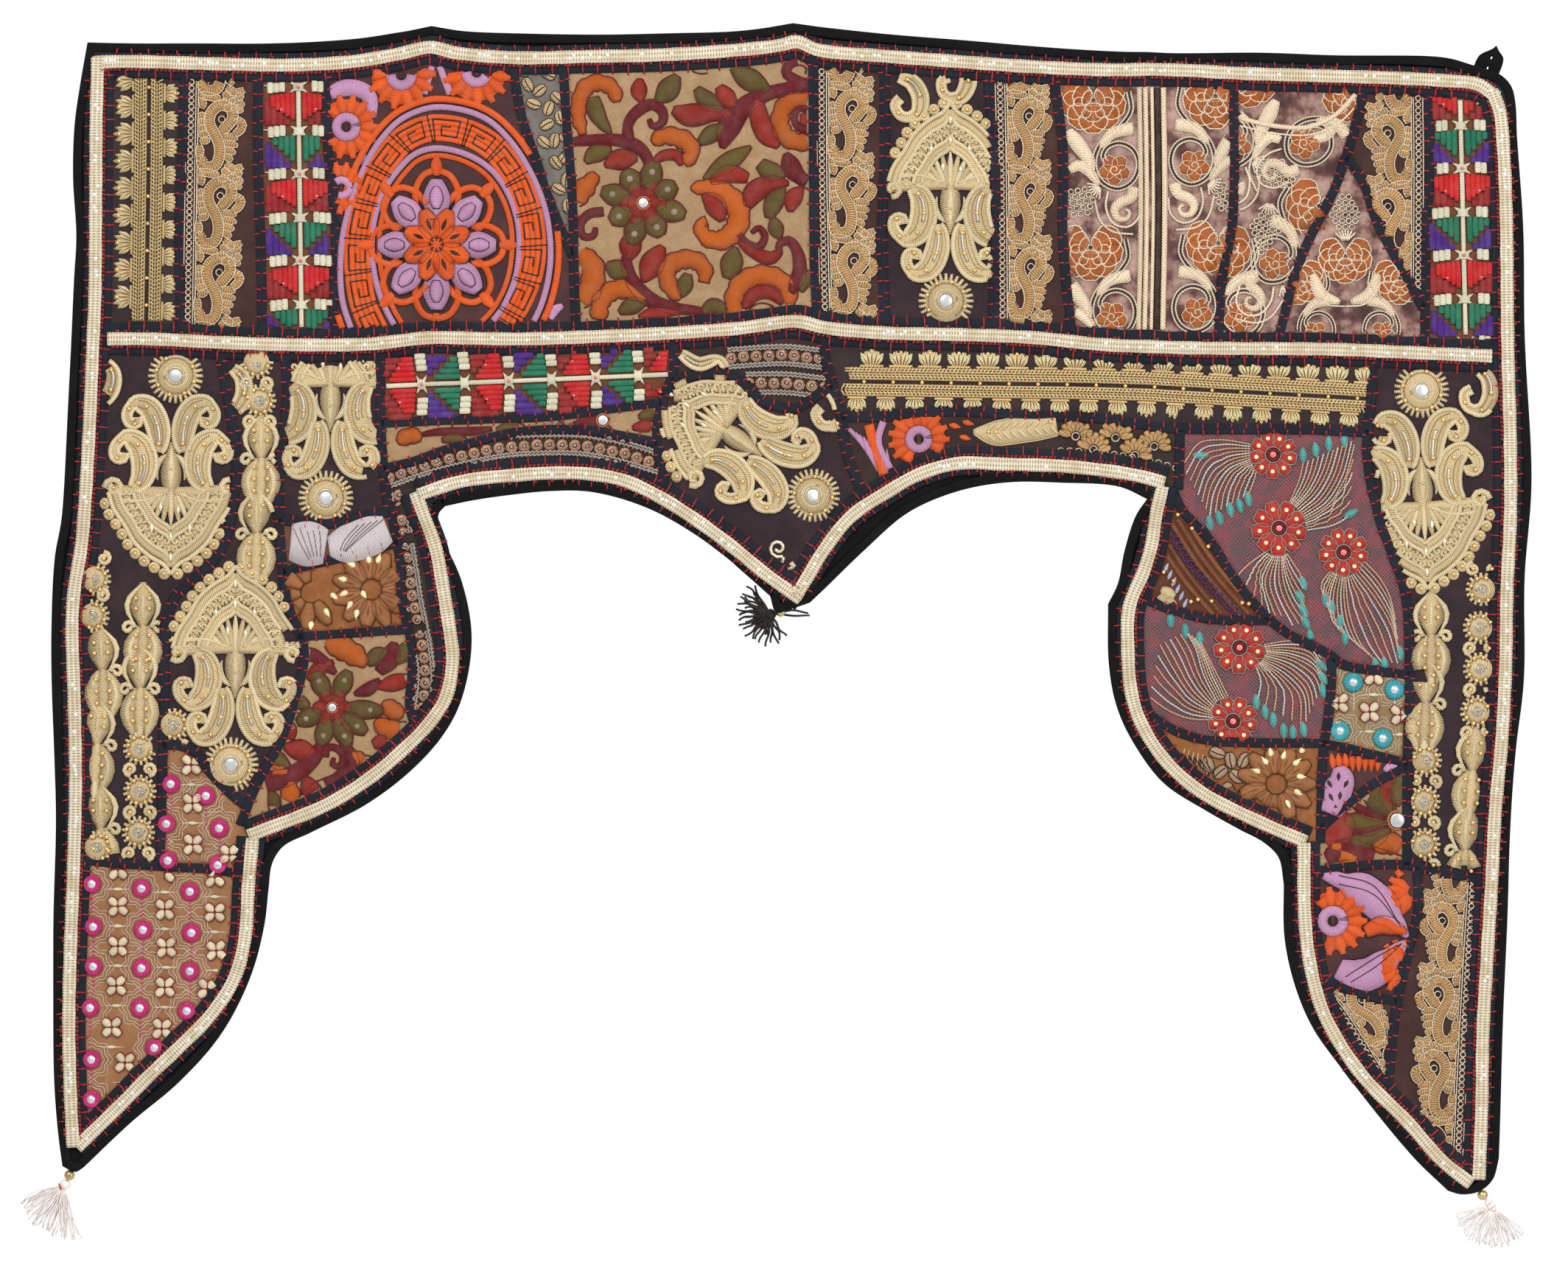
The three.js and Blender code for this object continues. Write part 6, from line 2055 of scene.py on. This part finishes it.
# Woven braids. Ten lengths of cream braid with looped edges are laid down the middle of the
# slate bands and sewn through. Red thread shows in loops under their edges, and clear sequins
# are left on some of them.
braid_width = 9.3
braid_low = 3.66
braid_height = 1.9
loop_pitch = 2.9
braid_runs = {
    "braid_top": lines["top"], "braid_right": lines["right_upper"] + lines["right_lower"][1:],
    "braid_right_leg": lines["right_leg"], "braid_right_lobe": lines["right_lobe"],
    "braid_right_arch": lines["right_arch"], "braid_left_arch": lines["left_arch"],
    "braid_left_lobe": lines["left_lobe"], "braid_left_leg": lines["left_leg"],
    "braid_left": lines["left_lower"] + lines["left_upper"][1:],
    "braid_middle": lines["middle"]}


def woven_braid():
    """Cream braid: crossing threads in four rows of cells, with rougher loops at its edges."""
    material, shade, surface = finish("woven_braid", 0.8, Sheen_Weight=0.15)
    u, v = along_and_out(shade)
    grain = speckle(shade, 1.1, 1.0)
    bars = (u * (1 / 1.9) + grain * 0.3).wave()
    rows = (v * (1 / 3.1) + grain * 0.15).wave()
    height = bars * 0.9 + rows * 0.35
    fade = speckle(shade, 14.0, 3.0).between(0.35, 0.7)
    cream = fade.mix(colour("#dad0b8"), colour("#c6b695"))
    # Painted shade: the hollows between the braid's bars and rows are darkened towards brown.
    shaded_pits = ((1 - bars) * (1.3 - rows) + grain * 0.15).between(0.25, 1.0)
    shade.feed(surface.inputs["Base Color"], (shaded_pits * 0.75).mix(cream, colour("#7d6b50")))
    raise_surface(shade, surface, height + grain * 0.3, 0.35)
    return material


def red_stitches(work, path, inner, outer, lifts, pitch=10.4):
    """Whip stitches in red yarn from one distance beside a line to another."""
    side = beside(path)
    length = lengths(path)
    for where in np.arange(chance.uniform(2, pitch), length[-1] - 1, pitch):
        where += chance.uniform(-1.1, 1.1)
        base = np.array([np.interp(where, length, path[:, k]) for k in (0, 1)])
        out = np.array([np.interp(where, length, side[:, k]) for k in (0, 1)])
        way = np.array([-out[1], out[0]])
        slant = chance.uniform(-0.6, 0.6)
        share = np.linspace(0, 1, 3)[:, None]
        reach = inner + (outer - inner) * share + chance.uniform(-0.5, 0.5)
        work.sweep(base + out * reach + way * slant * share, 1.35,
                   [0.9, 1.25, 0.8], np.interp(share[:, 0], [0, 0.35, 1], lifts),
                   worn(stitch_red, 0.2), fine_section)


stitch_red = colour("#c4202b")
loop_red = colour("#a01c28")
clear_sequin = colour("#cfcfc8")
braid_dress = woven_braid()
red_yarn = thread("red_yarn", 1.2, lean=0.6, depth=0.15, groove_shade=0.3)
stitches, loops, sequins = Work(), Work(), Work()
for number, (name, points) in enumerate(braid_runs.items()):
    path = smooth(points, loop_pitch / 3)
    path = path[10:-11] if name == "braid_middle" else run_on(path, 3.2)
    share = np.arange(len(path)) / 3
    waver = 0.75 * np.abs(np.sin(math.pi * share)) + 0.25 * np.sin(share * 0.7)
    woven = Work()
    woven.sweep(path, braid_width - 0.5 + waver, braid_height, braid_low + 0.05 * (number % 3),
                undyed, flat_section)
    braid = woven.piece(name.replace("braid", "ribbon"), braid_dress, "woven_braid")
    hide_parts(name)
    side = beside(path)
    for k in range(4, len(path) - 4, 3):
        for out, often in ((5.2, 0.85), (-4.9, 0.3)):
            if chance.uniform() < often:
                bend = 0.5 if out > 0 else -0.5
                spot = np.array([path[k - 1] + side[k] * out, path[k] + side[k] * (out + bend),
                                 path[k + 1] + side[k] * out])
                loops.sweep(spot, 2.3, 1.9, 4.2, worn(loop_red, 0.3), fine_section)
        if k % 4 and chance.uniform() < 0.3 and number not in (3, 6):
            sequins.dome(path[k] + side[k] * chance.uniform(-1.2, 1.2), 1.5, 0.35,
                         braid_low + braid_height - 0.12, clear_sequin, 8, rings=(1, 0.9),
                         rises=(0, 0.8))
    for inner, outer, lifts in ((4.9, 12.4, (4.4, 3.5, 2.5)), (-4.9, -8.4, (4.4, 3.5, 4.2))):
        if name == "braid_middle":
            outer, lifts = math.copysign(12.4, inner), (4.4, 3.5, 2.5)
        red_stitches(stitches, path[6:-6], inner, outer, lifts)
for points in joins.values():
    path = smooth(points, 2.5)
    for side in (-1, 1):
        red_stitches(stitches, path[2:-2], side * 0.6, side * 4.4, (3.4, 3.3, 2.5), 9.4)
stitches.piece("red_stitches", red_yarn, "silk_floss")
loops.piece("red_loops", red_yarn, "silk_floss")
sequins.piece("braid_sequins", bead_gloss, "sequin")


# Hanging tab. A folded, pointed tab of black cotton with two small slits, sewn behind the right
# end of the top edge to hang the toran by.
tab_outline = [(1016.8, 29.9), (1018.2, 33), (1021.6, 38.7), (1017.5, 52), (1013, 66), (997, 61),
               (1001.2, 44), (1005.3, 36.2), (1014.2, 31.9)]
tab_top = -0.3
tab_back = -2.3


def slit_round(across, down, wide, long):
    """A slit with rounded ends, leaning the way of the tab."""
    turn = np.arange(10) * math.pi / 5
    u, v = np.cos(turn) * wide, np.sin(turn) * long
    return np.column_stack([across - 0.92 * u + 0.4 * v, down - 0.4 * u - 0.92 * v])


slits = [slit_round(1013.4, 38.2, 0.75, 1.5), slit_round(1010.7, 45.2, 0.75, 1.5)]
closed = [np.vstack([line, line[:1]]) for line in (np.array(tab_outline), *slits)]
tab_field = regions(closed, {"tab": (1008, 55)}, 40.0)["tab"]
work = Work()
lay(work, tab_field, tab_back, tab_top - 0.2)
for line in closed:
    hem = offset(smooth(line, 1.5), 0.6 if line is closed[0] else -0.3)
    work.sweep(hem[:-1], 1.2, 0.6, tab_top - 0.55, undyed, fine_section, closed=True)
tab = work.piece("tab", black_cotton, "black_cloth")
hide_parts("hanging_tab")


# Gilt beads. One hollow brass-coloured ball sits over each tassel, two of them in the fold of a
# leg's tip; the left one is ridged.
ball_rings = (0.25, 0.62, 0.88, 1.0, 0.88, 0.62, 0.3)
ball_rises = (0.015, 0.11, 0.26, 0.5, 0.74, 0.89, 0.977)
old_gilt = colour("#bfa046")


def ball(work, place, radius, height, dye, sides):
    """A hollow ball with its middle at a height."""
    work.dome(place, radius, 2 * radius, height - radius, dye, sides, ball_rings, ball_rises)


for name, across, down, radius, height in (("centre", 529.8, 415.7, 3.0, -3.3),
                                           ("left", 47.2, 797.5, 3.6, 1.0),
                                           ("right", 1006, 810.9, 3.6, 1.0)):
    work = Work()
    ball(work, (across, down), radius, height, old_gilt, 18)
    if name == "left":
        share = np.linspace(0.12, 0.98, 7)
        for turn in np.arange(0, 2 * math.pi, math.pi / 5):
            way = np.array([math.cos(turn), math.sin(turn)])
            work.sweep(np.array([across, down]) + way * radius * share[:, None], 0.5, 0.5,
                       height + radius * np.sqrt(1 - share ** 2) - 0.2, shadow_gold,
                       fine_section)
    bead = work.piece("gilt_" + name, gilt_gloss, "gilt_bead")
    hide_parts("bead_" + name)


# Tassels. The centre one is black yarn bound in a knot behind the point. Those at the legs are
# loose wavy cream threads under a bound head: a ball with a red knot, and a leaning barrel.
black_yarn = thread("black_yarn", 1.3, lean=0.8, depth=0.2, groove_shade=0.3)
cream_yarn = thread("cream_yarn", 1.3, lean=0.8, depth=0.1, groove_shade=0.08)
yarn_black = colour("#0d0e14")
yarn_cream = colour("#fff3ee")


def hang(work, root, height, fans, dye, thick, bow, wavy):
    """Rows of loose threads from a root, each a spread of angles from straight down."""
    for row, (first, last, near, far, count) in enumerate(fans):
        for k in range(count):
            share = k / (count - 1)
            angle = math.radians(first + (last - first) * share + chance.uniform(-2, 2))
            reach = near + (far - near) * share - chance.uniform(0, 3.5)
            way = np.array([math.sin(angle), math.cos(angle)])
            run = np.linspace(0.05, 1, 10)
            wave = wavy * run * np.sin(run * chance.uniform(6, 10) + chance.uniform(0, 6))
            path = (np.array(root) + way * (reach * run)[:, None]
                    + np.array([way[1], -way[0]]) * wave[:, None])
            path[:, 1] -= bow * abs(way[0]) * np.sin(math.pi * run)
            work.sweep(path, thick * (1.1 - 0.3 * run), thick, height - 2.4 * row * run ** 0.5,
                       worn(dye), fine_section)


tassel_nodes = {
    # name: middle of the head, its radius, height, root of the threads, fans, thickness
    "centre": ((522.7, 417), 4.0, -4.3, (522, 417),
               [(-152, 36, 25, 21, 19), (-145, -5, 22, 16, 15), (86, 94, 30, 29, 2)], 2.0),
    "left": ((44.1, 803.9), 3.6, -1.5, (42.6, 805.2),
             [(-74, 18, 31, 38, 30), (-68, 13, 28, 36, 22)], 0.9),
    "right": (None, 0.0, 1.0, (1012.8, 820),
              [(-78, 52, 27, 28, 28), (-70, 45, 26, 29, 20)], 0.9)}
barrel_middle = np.array([1011.2, 817.8])
barrel_way = np.array([0.602, 0.799])
barrel_side = np.array([0.799, -0.602])
barrel_steps = np.array([-4.7, -4.3, -3.4, -2.4, 0.6, 2.6, 4.2, 4.7])
barrel_wide = np.array([0.3, 1.6, 2.3, 2.7, 2.9, 2.6, 2.1, 0.3])
for name, (head, radius, height, root, fans, thick) in tassel_nodes.items():
    dark = name == "centre"
    dye = yarn_black if dark else yarn_cream
    work = Work()
    hang(work, root, height, fans, dye, thick, 1.0 if dark else 2.2, 1.3 if dark else 1.0)
    if head is not None:
        ball(work, head, radius, height, dye, 16)
    else:
        axis = barrel_middle + barrel_way * barrel_steps[:, None]
        work.sweep(axis, 2 * barrel_wide, 2 * barrel_wide, height - barrel_wide, dye, section(12))
    if name == "left":
        work.sweep(np.array([(40.2, 803.0), (40.6, 805.2), (41.6, 807.3)]), 1.3, 1.2, 1.2,
                   stitch_red, fine_section)
    if name == "right":
        for shift in (-1.6, 1.8):
            tie = barrel_middle + barrel_way * shift
            work.sweep(tie + barrel_side * np.array([[-2.4], [0], [2.4]]), 0.8, 0.8,
                       [2.0, 3.5, 2.0], stitch_red, fine_section)
    tassel = work.piece("threads_" + name, black_yarn if dark else cream_yarn,
                        "black_thread" if dark else "white_thread")
    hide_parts("tassel_" + name)
